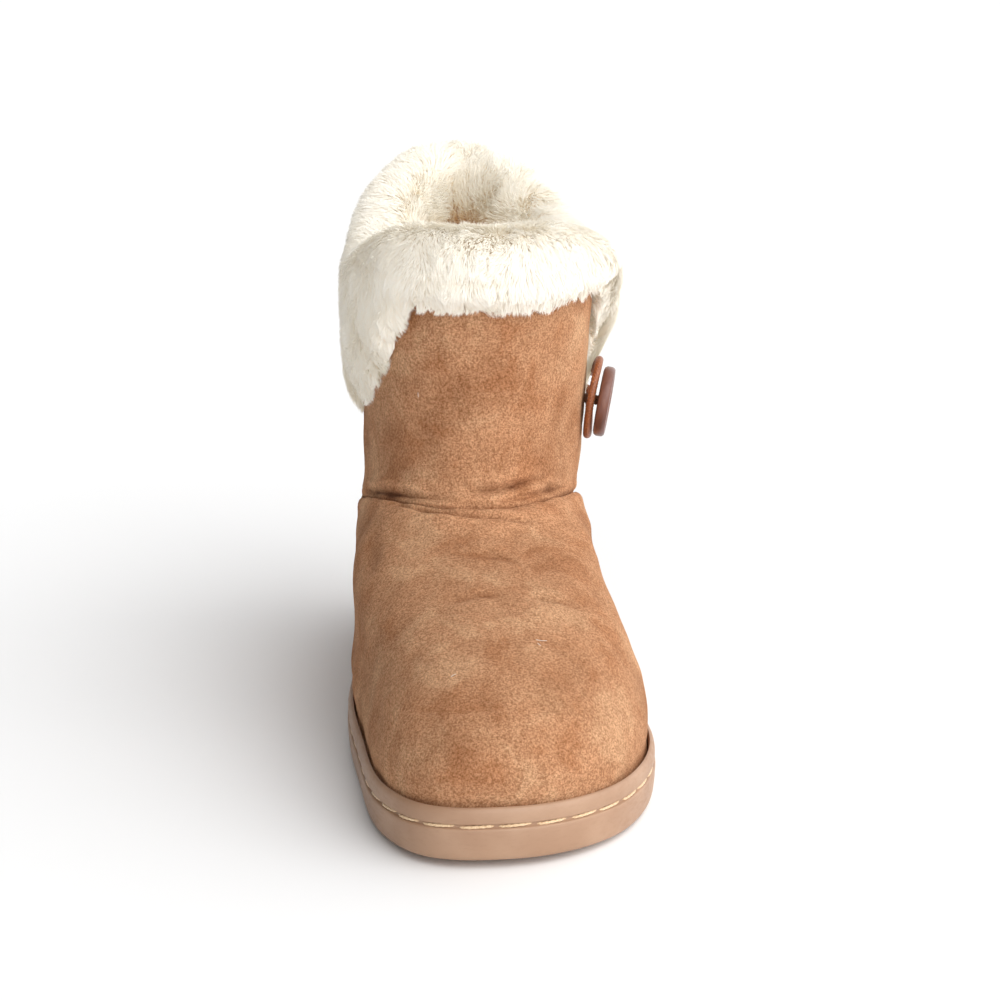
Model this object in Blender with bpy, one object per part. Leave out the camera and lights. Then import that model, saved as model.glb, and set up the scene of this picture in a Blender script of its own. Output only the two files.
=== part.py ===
"""Ankle-high bootie slipper for the left foot, in metres, +Z up.

The toe points along -Y and +X is the outer (lateral) side, where the button is.
The origin lies on the contact plane of the sole, at the middle of its length.
"""

import functools
import math

import bmesh
import bpy
import numpy as np
from mathutils import Matrix, Vector

MM = 0.001

# Driving sizes of the sole
SOLE_LENGTH = 262 * MM
BALL_WIDTH = 100.4 * MM
SOLE_FLOOR = 11 * MM
SOLE_WALL = 18 * MM
TOE_SPRING = 3.0 * MM
HEEL_SPRING = 1.2 * MM
ARCH_RISE = 1.6 * MM
MEDIAL_WAIST = 6.5 * MM
LATERAL_WAIST = 3.0 * MM
LIP = 2.4 * MM
LIP_ROUND = 1.0 * MM
FLOOR_COVE = 1.0 * MM

# Driving sizes of the upper and the shaft
WALL = 2.5 * MM
ANKLE_HEIGHT = 81 * MM
SEAM_DROP = 18 * MM
TOP_HEIGHT = 164 * MM
ANKLE_WIDTH = 73 * MM
COLLAR_WIDTH = 76 * MM
LATERAL_FLARE = 6.5 * MM
SLIT_FLOOR = 95 * MM
SLIT_HALF = 3.0

# Driving sizes of the fur cuff
HEM_HEIGHT = 150 * MM
OVERHANG = 121.6 * MM
PILE_IN = 19 * MM
LINING_PILE = 6 * MM
LOCK_RELIEF = 1.3 * MM
LOCKS_ROUND = 20

# Driving sizes of the insole, button and loop
INSOLE_THICKNESS = 6 * MM
INSOLE_ROUND = 1.5 * MM
BUTTON_DIAMETER = 25 * MM
BUTTON_THICKNESS = 4.2 * MM
BUTTON_HEIGHT = 106 * MM
BUTTON_STAND_OFF = 5.0 * MM
BUTTON_TILT = 5.0
BUTTON_ANGLE = 75.0
SHANK_DIAMETER = 4.5 * MM
LOOP_CORD = 2.8 * MM
LOOP_WIDTH = 26 * MM
LOOP_REACH = 25 * MM
LOOP_REST = 0.8 * MM
LOOP_LEAN = 2.0 * MM

# Clearance between neighbouring pieces, and the tread
GAP = 0.3 * MM
SLOT = 0.4 * MM
TREAD_DEPTH = 1.6 * MM
TREAD_WIDTH = 3.2 * MM
TREAD_PITCH = 9.5 * MM
TREAD_RIM = 9 * MM
TREAD_BEND = 5 * MM

HALF_LENGTH = SOLE_LENGTH / 2
HALF_BALL = BALL_WIDTH / 2

# The notches of the shaft, one on each side, each a rounded V with a short slit below it:
# angles of the slit and of the two top corners, height of the V's floor, and the powers of its two edges
NOTCHES = {
    "lateral": {"slit": 90.0, "front": 58.0, "back": 130.0, "floor": 124 * MM, "powers": (0.8, 0.8)},
    "medial": {"slit": 268.0, "front": 334.0, "back": 228.0, "floor": 106 * MM, "powers": (2.0, 0.8)},
}


def smooth(t):
    t = min(1.0, max(0.0, t))
    return t * t * (3 - 2 * t)


def through(xs, ys, x):
    """Monotone cubic curve through the points (xs, ys), read at x."""
    xs, ys = np.asarray(xs, float), np.asarray(ys, float)
    if x <= xs[0]:
        return float(ys[0])
    if x >= xs[-1]:
        return float(ys[-1])
    slopes = np.diff(ys) / np.diff(xs)
    tangents = np.empty(len(xs))
    tangents[0], tangents[-1] = slopes[0], slopes[-1]
    for i in range(1, len(xs) - 1):
        before, after = slopes[i - 1], slopes[i]
        tangents[i] = 0.0 if before * after <= 0 else 2 * before * after / (before + after)
    i = int(np.searchsorted(xs, x) - 1)
    h = xs[i + 1] - xs[i]
    t = (x - xs[i]) / h
    return float(
        (1 + 2 * t) * (1 - t) ** 2 * ys[i]
        + t * (1 - t) ** 2 * h * tangents[i]
        + t * t * (3 - 2 * t) * ys[i + 1]
        + t * t * (t - 1) * h * tangents[i + 1]
    )


# Sections of the upper, bottom to top. Lengths are shares of named sizes:
# level is 0 at the feather edge, 1 at the ankle seam and 2 at the top edge; rise is the height's share
# of ANKLE_HEIGHT up to level 1 and of the shaft above it; toe, heel and widest are shares of HALF_LENGTH
# from the middle of the sole; width is a share of BALL_WIDTH up to level 1, and above it goes from
# ANKLE_WIDTH at 0 to COLLAR_WIDTH at 1; front and back are the powers of the rounded ends; waist is the
# share of the sole's waist; flare is the share of LATERAL_FLARE added on the lateral side.
SECTION_COLUMNS = ("level", "rise", "toe", "heel", "widest", "width", "front", "back", "waist", "flare")
SECTIONS = [
    (0.00, 0.140, 0.976, 0.976, 0.36, 0.934, 2.45, 2.55, 1.00, 0.00),
    (0.10, 0.240, 0.976, 0.976, 0.36, 0.935, 2.45, 2.55, 1.00, 0.00),
    (0.20, 0.335, 0.981, 0.985, 0.34, 0.946, 2.40, 2.55, 0.95, 0.00),
    (0.30, 0.445, 0.957, 0.993, 0.31, 0.919, 2.28, 2.55, 0.85, 0.00),
    (0.40, 0.555, 0.895, 0.990, 0.25, 0.892, 2.18, 2.50, 0.70, -0.25),
    (0.50, 0.650, 0.790, 0.983, 0.16, 0.878, 2.10, 2.45, 0.50, -0.40),
    (0.60, 0.725, 0.660, 0.974, 0.05, 0.856, 2.06, 2.40, 0.32, -0.42),
    (0.70, 0.795, 0.510, 0.964, -0.07, 0.834, 2.05, 2.35, 0.18, -0.27),
    (0.80, 0.865, 0.345, 0.954, -0.19, 0.808, 2.05, 2.30, 0.08, 0.04),
    (0.90, 0.932, 0.185, 0.944, -0.30, 0.778, 2.08, 2.30, 0.02, 0.10),
    (1.00, 1.000, 0.066, 0.934, -0.38, 0.748, 2.12, 2.30, 0.00, 0.04),
    (1.15, 0.120, 0.020, 0.922, -0.43, 0.000, 2.20, 2.25, 0.00, 0.42),
    (1.35, 0.300, 0.004, 0.918, -0.45, 0.150, 2.20, 2.20, 0.00, 0.70),
    (1.65, 0.620, 0.010, 0.926, -0.45, 0.600, 2.20, 2.15, 0.00, 0.90),
    (2.00, 1.000, 0.020, 0.938, -0.45, 1.000, 2.20, 2.10, 0.00, 1.00),
]


def column(name, rows):
    return [row[SECTION_COLUMNS.index(name)] for row in rows]


SEAM_LEVEL = 1.0
SEAM_BLEND = 0.15
SEAM_HALF = HALF_BALL * next(row[5] for row in SECTIONS if row[0] == SEAM_LEVEL)
LEG_SECTIONS = [row for row in SECTIONS if row[0] > SEAM_LEVEL]
LEG_LEVELS = [SEAM_LEVEL] + column("level", LEG_SECTIONS)

# Share of the shaft's height that one level covers just above the seam, and half the gap there as a level
RISE_AT_SEAM = 0.8
HALF_SEAM_GAP = 0.5 * GAP / (RISE_AT_SEAM * (TOP_HEIGHT - ANKLE_HEIGHT))


@functools.lru_cache(maxsize=None)
def section(level):
    """The sizes of the section at this level, in metres."""
    levels = column("level", SECTIONS)
    at = {name: through(levels, column(name, SECTIONS), level) for name in SECTION_COLUMNS}
    if level <= SEAM_LEVEL:
        at["z"] = at["rise"] * ANKLE_HEIGHT
        at["half"] = at["width"] * HALF_BALL
        return at
    rise = through(LEG_LEVELS, [0.0] + column("rise", LEG_SECTIONS), level)
    spread = through(LEG_LEVELS, [0.0] + column("width", LEG_SECTIONS), level)
    leg_half = (ANKLE_WIDTH + spread * (COLLAR_WIDTH - ANKLE_WIDTH)) / 2
    at["z"] = ANKLE_HEIGHT + rise * (TOP_HEIGHT - ANKLE_HEIGHT)
    at["half"] = SEAM_HALF + (leg_half - SEAM_HALF) * smooth((level - SEAM_LEVEL) / SEAM_BLEND)
    return at


def lift(y):
    """Height that the toe spring and the heel spring add at y."""
    toe = max(0.0, (-y - 0.38 * HALF_LENGTH) / (0.62 * HALF_LENGTH))
    heel = max(0.0, (y - 0.8 * HALF_LENGTH) / (0.2 * HALF_LENGTH))
    return TOE_SPRING * toe**2 + HEEL_SPRING * heel**2


# Sideways place of the foot's middle: along as a share of HALF_LENGTH, side in millimetres
CENTRE_COLUMNS = ("along", "side")
CENTRE = [(-1.0, -8.0), (-0.8, -1.0), (-0.45, 3.7), (0.0, 0.6), (0.42, 2.0), (1.0, 1.2)]


@functools.lru_cache(maxsize=None)
def centre_line(y):
    """Sideways place of the foot's middle at y: the ball lies further out than the toe and the heel."""
    places, sides = zip(*CENTRE)
    return through(places, sides, y / HALF_LENGTH) * MM


def rounded_outline(at, angle):
    """Point of a section's outline. 0 degrees is the toe, 90 the lateral side."""
    c, s = math.cos(math.radians(angle)), math.sin(math.radians(angle))
    widest = -at["widest"] * HALF_LENGTH
    toe, heel = -at["toe"] * HALF_LENGTH, at["heel"] * HALF_LENGTH
    power = at["front"] if c > 0 else at["back"]
    along = abs(c) ** (2 / power)
    across = abs(s) ** (2 / power)
    y = widest + (toe - widest) * along if c > 0 else widest + (heel - widest) * along
    waist = (LATERAL_WAIST if s > 0 else MEDIAL_WAIST) * at["waist"]
    narrow = waist * math.sin(math.pi * along) ** 2 if c < 0 else 0.0
    half = at["half"] + (LATERAL_FLARE * at["flare"] if s > 0 else 0.0)
    x = math.copysign(max(0.0, half * across - narrow * min(1.0, 2 * across)), s)
    return centre_line(y) + x, y


def surface(level, angle):
    """Point of the upper's outer surface."""
    at = section(level)
    x, y = rounded_outline(at, angle)
    back = smooth((y + 0.05 * HALF_LENGTH) / (0.7 * HALF_LENGTH))
    seam_share = through([0.0, 0.3, 1.0, 2.0], [0.0, 0.3, 1.0, 0.0], level)
    fade = max(0.0, 1.0 - level)
    return Vector((x, y, at["z"] - SEAM_DROP * seam_share * back + lift(y) * fade))


def normal(level, angle):
    """Outward direction of the upper's surface."""
    step_level, step_angle = 0.01, 1.0
    low, high = max(0.0, level - step_level), min(2.0, level + step_level)
    up = surface(high, angle) - surface(low, angle)
    if low == 0.0:
        up = Vector((0, 0, 1))
    round_about = surface(level, angle + step_angle) - surface(level, angle - step_angle)
    return round_about.cross(up).normalized()


def wall_point(level, angle, depth):
    """Point at this depth under the outer surface."""
    return surface(level, angle) - normal(level, angle) * depth


def notch_drop(angle):
    """How far the shaft's top edge comes down at this angle: a rounded V with a slit below it."""
    angle = angle % 360
    for notch in NOTCHES.values():
        low, high = sorted((notch["front"], notch["back"]))
        if low < angle < high:
            off = angle - notch["slit"]
            to_front = off * (notch["front"] - notch["slit"]) > 0
            corner = notch["front" if to_front else "back"]
            share = abs(off) / abs(corner - notch["slit"])
            slit = max(0.0, 1.0 - abs(off) / SLIT_HALF) * (notch["floor"] - SLIT_FLOOR)
            power = notch["powers"][0 if to_front else 1]
            return (TOP_HEIGHT - notch["floor"]) * (1 - share**power) + slit
    return 0.0


def level_at(angle, z):
    """Level of the shaft's surface at this height."""
    low, high = 1.0, 2.0
    for _ in range(14):
        middle = (low + high) / 2
        if surface(middle, angle).z < z:
            low = middle
        else:
            high = middle
    return (low + high) / 2


def top_level(angle):
    """Level of the shaft's top edge, notches included."""
    return level_at(angle, TOP_HEIGHT - notch_drop(angle))


def new_object(name, bm, material, flat_above=30.0):
    bmesh.ops.recalc_face_normals(bm, faces=bm.faces)
    mesh = bpy.data.meshes.new(name)
    bm.to_mesh(mesh)
    bm.free()
    mesh.materials.append(material)
    mesh.shade_smooth()
    mesh.set_sharp_from_angle(angle=math.radians(flat_above))
    made = bpy.data.objects.new(name, mesh)
    bpy.context.scene.collection.objects.link(made)
    return made


def material(name, colour, roughness):
    made = bpy.data.materials.new(name)
    made.use_nodes = True
    shader = made.node_tree.nodes["Principled BSDF"]
    shader.inputs["Base Color"].default_value = (*colour, 1.0)
    shader.inputs["Roughness"].default_value = roughness
    return made


def add_ring(bm, points):
    return [bm.verts.new(p) for p in points]


def bridge(bm, ring, other):
    """Quads between two closed rings of the same count."""
    count = len(ring)
    for i in range(count):
        j = (i + 1) % count
        bm.faces.new((ring[i], ring[j], other[j], other[i]))


def ladder(bm, ring):
    """Fills a ring, whose first point is the toe and middle point the heel, with rungs across."""
    count = len(ring)
    half = count // 2
    bm.faces.new((ring[0], ring[1], ring[count - 1]))
    for i in range(1, half - 1):
        bm.faces.new((ring[i], ring[i + 1], ring[count - i - 1], ring[count - i]))
    bm.faces.new((ring[half - 1], ring[half], ring[half + 1]))


FOOT_ANGLES = [i * 360 / 54 for i in range(54)]
UPPER_ROWS = 15
SHAFT_ROWS = 8


def cup_outline(inset, angle):
    """Point of the sole's outline, moved in square to it. 0 inset is the outermost edge of the sole."""
    at = section(0.0)
    reach = LIP + GAP
    ahead = Vector(rounded_outline(at, angle + 1.0))
    behind = Vector(rounded_outline(at, angle - 1.0))
    along = (ahead - behind).normalized()
    out = Vector((-along.y, along.x))
    here = Vector(rounded_outline(at, angle))
    if out.dot(here - Vector((centre_line(here.y), 0))) < 0:
        out.negate()
    return here + out * (reach - inset)


# The outsole's side from the tread up, over the lip and down to the cup's floor:
# inset from the outermost edge and height, each a share of LIP and SOLE_WALL. The band above
# the stitch groove is one with the wall below it.
SIDE_COLUMNS = ("inset", "height")
SIDE = [
    (1.30, 0.000),
    (0.62, 0.035),
    (0.30, 0.120),
    (0.10, 0.330),
    (0.00, 0.560),
    (0.10, 0.615),
    (0.48, 0.640),
    (0.48, 0.690),
    (0.12, 0.715),
    (0.08, 0.800),
    (0.22, 0.920),
    (0.52, 0.985),
    (0.80, 1.000),
]


def build_outsole(rubber):
    bm = bmesh.new()
    rings = []
    for inset_share, height_share in SIDE:
        points = []
        for angle in FOOT_ANGLES:
            place = cup_outline(inset_share * LIP, angle)
            z = height_share * SOLE_WALL + lift(place.y)
            points.append((place.x, place.y, z))
        rings.append(add_ring(bm, points))
    for inset, z in ((LIP, SOLE_WALL - LIP_ROUND), (LIP, SOLE_FLOOR + FLOOR_COVE), (LIP, SOLE_FLOOR)):
        points = []
        for angle in FOOT_ANGLES:
            place = cup_outline(inset, angle)
            points.append((place.x, place.y, z + lift(place.y)))
        rings.append(add_ring(bm, points))
    for ring, other in zip(rings, rings[1:]):
        bridge(bm, ring, other)
    ladder(bm, rings[0])
    ladder(bm, rings[-1])
    raise_arch(rings[0])
    sole = new_object("outsole", bm, rubber)
    cut_tread(sole)
    return sole


def raise_arch(ring):
    """Lifts the tread under the arch, between the forefoot's and the heel's flat spots."""
    for vertex in ring:
        t = (vertex.co.y / HALF_LENGTH - 0.12) / 0.36
        if 0.0 < t < 1.0:
            vertex.co.z += ARCH_RISE * math.sin(math.pi * t) ** 2


def tread_rows():
    """Places along the sole of the tread's grooves: forefoot, then heel, with a plain flat between."""
    forefoot = np.arange(-0.80 * HALF_LENGTH, -0.05 * HALF_LENGTH, TREAD_PITCH)
    heel = np.arange(0.66 * HALF_LENGTH, 0.84 * HALF_LENGTH, TREAD_PITCH)
    return [*forefoot, *heel]


def sides_at(y):
    """The sole's medial and lateral edges at y, at the height of the tread."""
    points = [cup_outline(SIDE[0][0] * LIP, a) for a in FOOT_ANGLES]
    lateral = sorted((p.y, p.x) for p, a in zip(points, FOOT_ANGLES) if a <= 180)
    medial = sorted((p.y, p.x) for p, a in zip(points, FOOT_ANGLES) if a >= 180 or a == 0)
    return (
        float(np.interp(y, [p[0] for p in medial], [p[1] for p in medial])),
        float(np.interp(y, [p[0] for p in lateral], [p[1] for p in lateral])),
    )


def cut_tread(sole):
    """Chevron grooves across the tread, inside a plain rim."""
    bm = bmesh.new()
    for y in tread_rows():
        left, right = sides_at(y)
        left, right = left + TREAD_RIM, right - TREAD_RIM
        middle = (left + right) / 2
        line = [(left, y + TREAD_BEND), (middle, y), (right, y + TREAD_BEND)]
        half = TREAD_WIDTH / 2
        top = max(lift(y), lift(y + TREAD_BEND)) + TREAD_DEPTH
        plan = [(x, v - half) for x, v in line] + [(x, v + half) for x, v in reversed(line)]
        low = add_ring(bm, [(x, v, -TREAD_DEPTH) for x, v in plan])
        high = add_ring(bm, [(x, v, top) for x, v in plan])
        bridge(bm, low, high)
        for ring in (low, high):
            bm.faces.new((ring[0], ring[1], ring[4], ring[5]))
            bm.faces.new((ring[1], ring[2], ring[3], ring[4]))
    cutter = new_object("tread_cutter", bm, sole.data.materials[0])
    cutter.hide_render = True
    cutter.display_type = "WIRE"
    cut = sole.modifiers.new("tread", "BOOLEAN")
    cut.operation = "DIFFERENCE"
    cut.object = cutter


def build_insole(fleece):
    """Footbed inside the upper's wall, following the sole's spring."""
    bm = bmesh.new()
    reach = LIP + GAP + WALL + GAP
    foot = SOLE_FLOOR + GAP
    rows = (
        (reach, foot),
        (reach, foot + INSOLE_THICKNESS - INSOLE_ROUND),
        (reach + 0.3 * INSOLE_ROUND, foot + INSOLE_THICKNESS - 0.3 * INSOLE_ROUND),
        (reach + INSOLE_ROUND, foot + INSOLE_THICKNESS),
    )
    rings = []
    for inset, z in rows:
        places = [cup_outline(inset, angle) for angle in FOOT_ANGLES]
        rings.append(add_ring(bm, [(p.x, p.y, z + lift(p.y)) for p in places]))
    for ring, other in zip(rings, rings[1:]):
        bridge(bm, ring, other)
    ladder(bm, rings[0])
    ladder(bm, rings[-1])
    return new_object("insole", bm, fleece)


def hollow_wall(name, grid, suede):
    """Closed wall from a grid of (level, angle) rows: outer face, inner face and two rims."""
    bm = bmesh.new()
    outer = [add_ring(bm, [wall_point(level, a, 0.0) for level, a in row]) for row in grid]
    inner = [add_ring(bm, [wall_point(level, a, WALL) for level, a in row]) for row in grid]
    for rings in (outer, inner):
        for ring, other in zip(rings, rings[1:]):
            bridge(bm, ring, other)
    bridge(bm, outer[0], inner[0])
    bridge(bm, outer[-1], inner[-1])
    return new_object(name, bm, suede)


def build_upper(suede):
    """Vamp and quarters, from the cup of the sole to the ankle seam."""
    levels = np.linspace(0.0, SEAM_LEVEL - HALF_SEAM_GAP, UPPER_ROWS)
    grid = [[(level, a) for a in FOOT_ANGLES] for level in levels]
    return hollow_wall("upper", grid, suede)


@functools.lru_cache(maxsize=None)
def shaft_angles():
    """Even steps, with close ones at the slit of each notch."""
    even = [i * 360 / 54 for i in range(54)]
    close = []
    for notch in NOTCHES.values():
        slit = notch["slit"]
        close += [slit - SLIT_HALF, slit, slit + SLIT_HALF, notch["front"], notch["back"]]
    kept = [a for a in even if all(abs(a - b) > 2.0 for b in close)]
    return sorted(kept + close)


@functools.lru_cache(maxsize=None)
def shaft_levels(angle):
    """Levels of the shaft's rows at this angle, from the ankle seam to the top edge."""
    foot = SEAM_LEVEL + HALF_SEAM_GAP
    return [float(level) for level in np.linspace(foot, top_level(angle), SHAFT_ROWS)]


def build_shaft(suede):
    """Leg part of the upper, from the ankle seam to the top edge, with a notch on each side."""
    angles = shaft_angles()
    grid = [[(shaft_levels(a)[i], a) for a in angles] for i in range(SHAFT_ROWS)]
    return hollow_wall("shaft", grid, suede)


# The cuff's roll: angle from the toe, reach outside the shaft and height of its ridge in millimetres.
# The ridge sags between the front and the back panel.
ROLL_COLUMNS = ("angle", "reach", "ridge")
ROLL = [
    (0, 9.0, 177.5),
    (40, 8.5, 175.5),
    (70, 10.5, 168.5),
    (94, 10.5, 161.0),
    (118, 6.0, 170.0),
    (145, 7.0, 181.0),
    (165, 8.5, 185.0),
    (180, 8.5, 185.5),
    (200, 8.0, 184.5),
    (225, 5.5, 178.0),
    (245, 5.0, 168.0),
    (266, 6.5, 160.0),
    (290, 6.5, 168.5),
    (320, 7.5, 176.5),
    (360, 9.0, 177.5),
]


@functools.lru_cache(maxsize=None)
def roll(angle):
    """Reach of the outer fur and height of its ridge at this angle."""
    angles, reaches, ridges = zip(*ROLL)
    return tuple(through(angles, sizes, angle % 360) * MM for sizes in (reaches, ridges))


def lock(angle, run):
    """Relief of the fur's locks, -1 to 1: staggered rows of rounded tufts."""
    row = math.floor(run * 5)
    turn = math.radians(angle) * LOCKS_ROUND + (math.pi if row % 2 else 0.0)
    return math.cos(turn + 0.6 * math.sin(3.1 * run + 5 * math.radians(angle)))


def edge_clearance(angle):
    """How far above the shaft's top edge the fur passes, so that it clears a sloping edge by SLOT."""
    angles = shaft_angles()
    i = angles.index(angle)
    here = surface(shaft_levels(angle)[-1], angle)
    steepest = 0.0
    for other in (angles[i - 1], angles[(i + 1) % len(angles)]):
        step = surface(shaft_levels(other)[-1], other) - here
        steepest = max(steepest, abs(step.z) / math.hypot(step.x, step.y))
    return SLOT * math.hypot(1.0, steepest)


OUTER_STEPS = 6
RIDGE_STEPS = 6
LINING_STEPS = 6


def cuff_section(angle):
    """Closed loop round the shaft's top edge: outer pile, ridge, lining, then the slot for the wall."""
    reach, ridge = roll(angle)
    levels = shaft_levels(angle)
    edge_level = levels[-1]
    hem = min(HEM_HEIGHT, surface(edge_level, angle).z - 0.7 * MM)
    start = max(hem + 0.8 * MM, OVERHANG if angle < 180 else 0.0)
    shoulder = min(TOP_HEIGHT, ridge - 12 * MM)
    hang = 0.5 * LOCK_RELIEF * (1 + lock(angle, 0.0)) if hem == HEM_HEIGHT else 0.0
    level = level_at(angle, hem)
    low = surface(level, angle) + normal(level, angle) * SLOT
    low.z -= hang
    level = level_at(angle, start - 0.5 * MM)
    loop = [low, surface(level, angle) + normal(level, angle) * (SLOT + 0.1 * MM)]
    for i in range(OUTER_STEPS):
        t = i / (OUTER_STEPS - 1)
        level = level_at(angle, start + (shoulder - start) * t)
        away = SLOT + reach * math.sin(math.pi / 2 * min(1.0, 0.25 + 2.0 * t))
        away += LOCK_RELIEF * lock(angle, t) * smooth(4 * t)
        loop.append(surface(level, angle) + normal(level, angle) * away)
    shoulder_level = level_at(angle, shoulder)
    rim = surface(shoulder_level, angle)
    flat_out = normal(shoulder_level, angle)
    flat_out.z = 0
    flat_out.normalize()
    outer_reach = (loop[-1] - rim).dot(flat_out)
    middle = (outer_reach - WALL - PILE_IN) / 2
    half_wide = outer_reach - middle
    for i in range(1, RIDGE_STEPS + 1):
        turn = math.pi * i / (RIDGE_STEPS + 1)
        relief = 1 + 0.05 * lock(angle, 0.3 + i / RIDGE_STEPS)
        point = rim + flat_out * (middle + half_wide * math.cos(turn) * relief)
        point.z = shoulder + (ridge - shoulder) * math.sin(turn) * relief
        loop.append(point)
    for i in range(LINING_STEPS):
        t = i / (LINING_STEPS - 1)
        level = shoulder_level + (levels[1] - shoulder_level) * t
        away = WALL + PILE_IN + (LINING_PILE - PILE_IN) * smooth(t * 1.2)
        away += 0.6 * LOCK_RELIEF * lock(angle, t + 0.4) * smooth(4 * (1 - t))
        loop.append(wall_point(level, angle, away))
    loop += [wall_point(level, angle, WALL + SLOT) for level in levels[1:]]
    rise = edge_clearance(angle)
    loop[-1].z += rise
    over = surface(edge_level, angle) + normal(edge_level, angle) * SLOT
    over.z += rise
    loop.append(over)
    return loop


def build_cuff(fur):
    """Fur cuff that folds over the top edge, lines the leg and fills the notches."""
    bm = bmesh.new()
    rings = [add_ring(bm, cuff_section(a)) for a in shaft_angles()]
    for i, ring in enumerate(rings):
        bridge(bm, ring, rings[(i + 1) % len(rings)])
    return new_object("fur_cuff", bm, fur, flat_above=60.0)


def button_frame():
    """Place of the button: origin on the shaft's face, Z outwards, Y up the leg."""
    level = level_at(BUTTON_ANGLE, BUTTON_HEIGHT)
    seat = surface(level, BUTTON_ANGLE)
    out = normal(level, BUTTON_ANGLE)
    side = Vector((0, 0, 1)).cross(out).normalized()
    out = Matrix.Rotation(math.radians(BUTTON_TILT), 3, side) @ out
    up = out.cross(side).normalized()
    frame = Matrix.Identity(4)
    for column, axis in enumerate((side, up, out)):
        for row in range(3):
            frame[row][column] = axis[row]
    frame.translation = seat
    return frame


# Turned profile of the button, from the back's centre to the face's centre:
# radius as a share of the button's radius, height as a share of its thickness.
BUTTON_PROFILE = [
    (0.88, 0.00),
    (1.00, 0.18),
    (1.00, 0.82),
    (0.94, 1.00),
    (0.80, 1.00),
    (0.70, 0.78),
]
BUTTON_SIDES = 30
HOLE_SIDES = 8
HOLE_RADIUS = 1.0 * MM
HOLE_PLACE = 0.2


def build_button(horn):
    """Four-hole button with a raised rim, on its shank of thread."""
    bm = bmesh.new()
    radius = BUTTON_DIAMETER / 2

    def circle(r, z, count=BUTTON_SIDES):
        turns = [2 * math.pi * i / count for i in range(count)]
        return add_ring(bm, [(r * math.cos(t), r * math.sin(t), z) for t in turns])

    foot = circle(SHANK_DIAMETER / 2, GAP + 0.5 * MM)
    neck = circle(SHANK_DIAMETER / 2, BUTTON_STAND_OFF)
    rings = [foot, neck]
    for share, height in BUTTON_PROFILE:
        rings.append(circle(share * radius, BUTTON_STAND_OFF + height * BUTTON_THICKNESS))
    for ring, other in zip(rings, rings[1:]):
        bridge(bm, ring, other)
    bm.faces.new(foot)
    bm.faces.new(rings[-1])
    button = new_object("button", bm, horn)
    button.matrix_world = button_frame()
    cutter_mesh = bmesh.new()
    for i in range(4):
        turn = math.radians(45 + 90 * i)
        off = HOLE_PLACE * radius
        height = BUTTON_STAND_OFF + BUTTON_THICKNESS
        place = Matrix.Translation((off * math.cos(turn), off * math.sin(turn), height))
        bmesh.ops.create_cone(
            cutter_mesh,
            cap_ends=True,
            segments=HOLE_SIDES,
            radius1=HOLE_RADIUS,
            radius2=HOLE_RADIUS,
            depth=1.4 * BUTTON_THICKNESS,
            matrix=place,
        )
    cutter = new_object("button_hole_cutter", cutter_mesh, horn)
    cutter.matrix_world = button_frame()
    cutter.hide_render = True
    cutter.display_type = "WIRE"
    cut = button.modifiers.new("holes", "BOOLEAN")
    cut.operation = "DIFFERENCE"
    cut.object = cutter
    return button


def loop_route():
    """Points of the loop's centre line on the leg: along it towards the heel, and up, from the button."""
    half = LOOP_WIDTH / 2
    front = -(SHANK_DIAMETER + LOOP_CORD) / 2 - 5.0 * MM
    lower = [
        (LOOP_REACH, 3.0 * MM),
        (0.72 * LOOP_REACH, 0.45 * half),
        (0.45 * LOOP_REACH, 0.80 * half),
        (0.15 * LOOP_REACH, half),
        (0.45 * front, 0.90 * half),
        (0.85 * front, 0.50 * half),
    ]
    return [*lower, (front, 0.0), *[(along, -up) for along, up in reversed(lower)]]


def angle_at(y, z):
    """Angle on the lateral side where the leg's surface at height z reaches y."""
    low, high = 20.0, 160.0
    for _ in range(20):
        middle = (low + high) / 2
        if surface(level_at(middle, z), middle).y < y:
            low = middle
        else:
            high = middle
    return (low + high) / 2


def build_loop(elastic):
    """Elastic cord loop round the button's shank, sewn on behind the slit."""
    seat = button_frame().translation
    half = LOOP_WIDTH / 2
    guide = []
    for along, up in loop_route():
        z = seat.z + up
        angle = angle_at(seat.y + along, z)
        level = level_at(angle, z)
        off = LOOP_CORD / 2 + LOOP_REST + LOOP_LEAN * (up + half) / (2 * half)
        guide.append(surface(level, angle) + normal(level, angle) * off)
    curve = bpy.data.curves.new("button_loop", "CURVE")
    curve.dimensions = "3D"
    curve.bevel_depth = LOOP_CORD / 2
    curve.bevel_resolution = 2
    curve.use_fill_caps = True
    points = smooth_route(guide, 2)
    spline = curve.splines.new("POLY")
    spline.points.add(len(points) - 1)
    for place, point in zip(spline.points, points):
        place.co = (*point, 1.0)
    curve.materials.append(elastic)
    made = bpy.data.objects.new("button_loop", curve)
    bpy.context.scene.collection.objects.link(made)
    return made


def smooth_route(guide, steps):
    """Catmull-Rom curve through the guide's points."""
    ends = [2 * guide[0] - guide[1], *guide, 2 * guide[-1] - guide[-2]]
    points = []
    for a, b, c, d in zip(ends, ends[1:], ends[2:], ends[3:]):
        for i in range(steps):
            t = i / steps
            bend = 2 * a - 5 * b + 4 * c - d
            twist = 3 * b - a - 3 * c + d
            points.append(0.5 * (2 * b + (c - a) * t + bend * t**2 + twist * t**3))
    points.append(guide[-1])
    return points


def centre_on_origin():
    """Moves the shoe so that the middle of its length and width lies over the origin."""
    bpy.context.view_layer.update()
    shown = [ob for ob in bpy.data.objects if not ob.hide_render]
    graph = bpy.context.evaluated_depsgraph_get()
    points = []
    for ob in shown:
        mesh = ob.evaluated_get(graph).to_mesh()
        points += [ob.matrix_world @ vertex.co for vertex in mesh.vertices]
    middle_x = (min(p.x for p in points) + max(p.x for p in points)) / 2
    middle_y = (min(p.y for p in points) + max(p.y for p in points)) / 2
    for ob in bpy.data.objects:
        ob.location -= Vector((middle_x, middle_y, 0.0))


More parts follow.
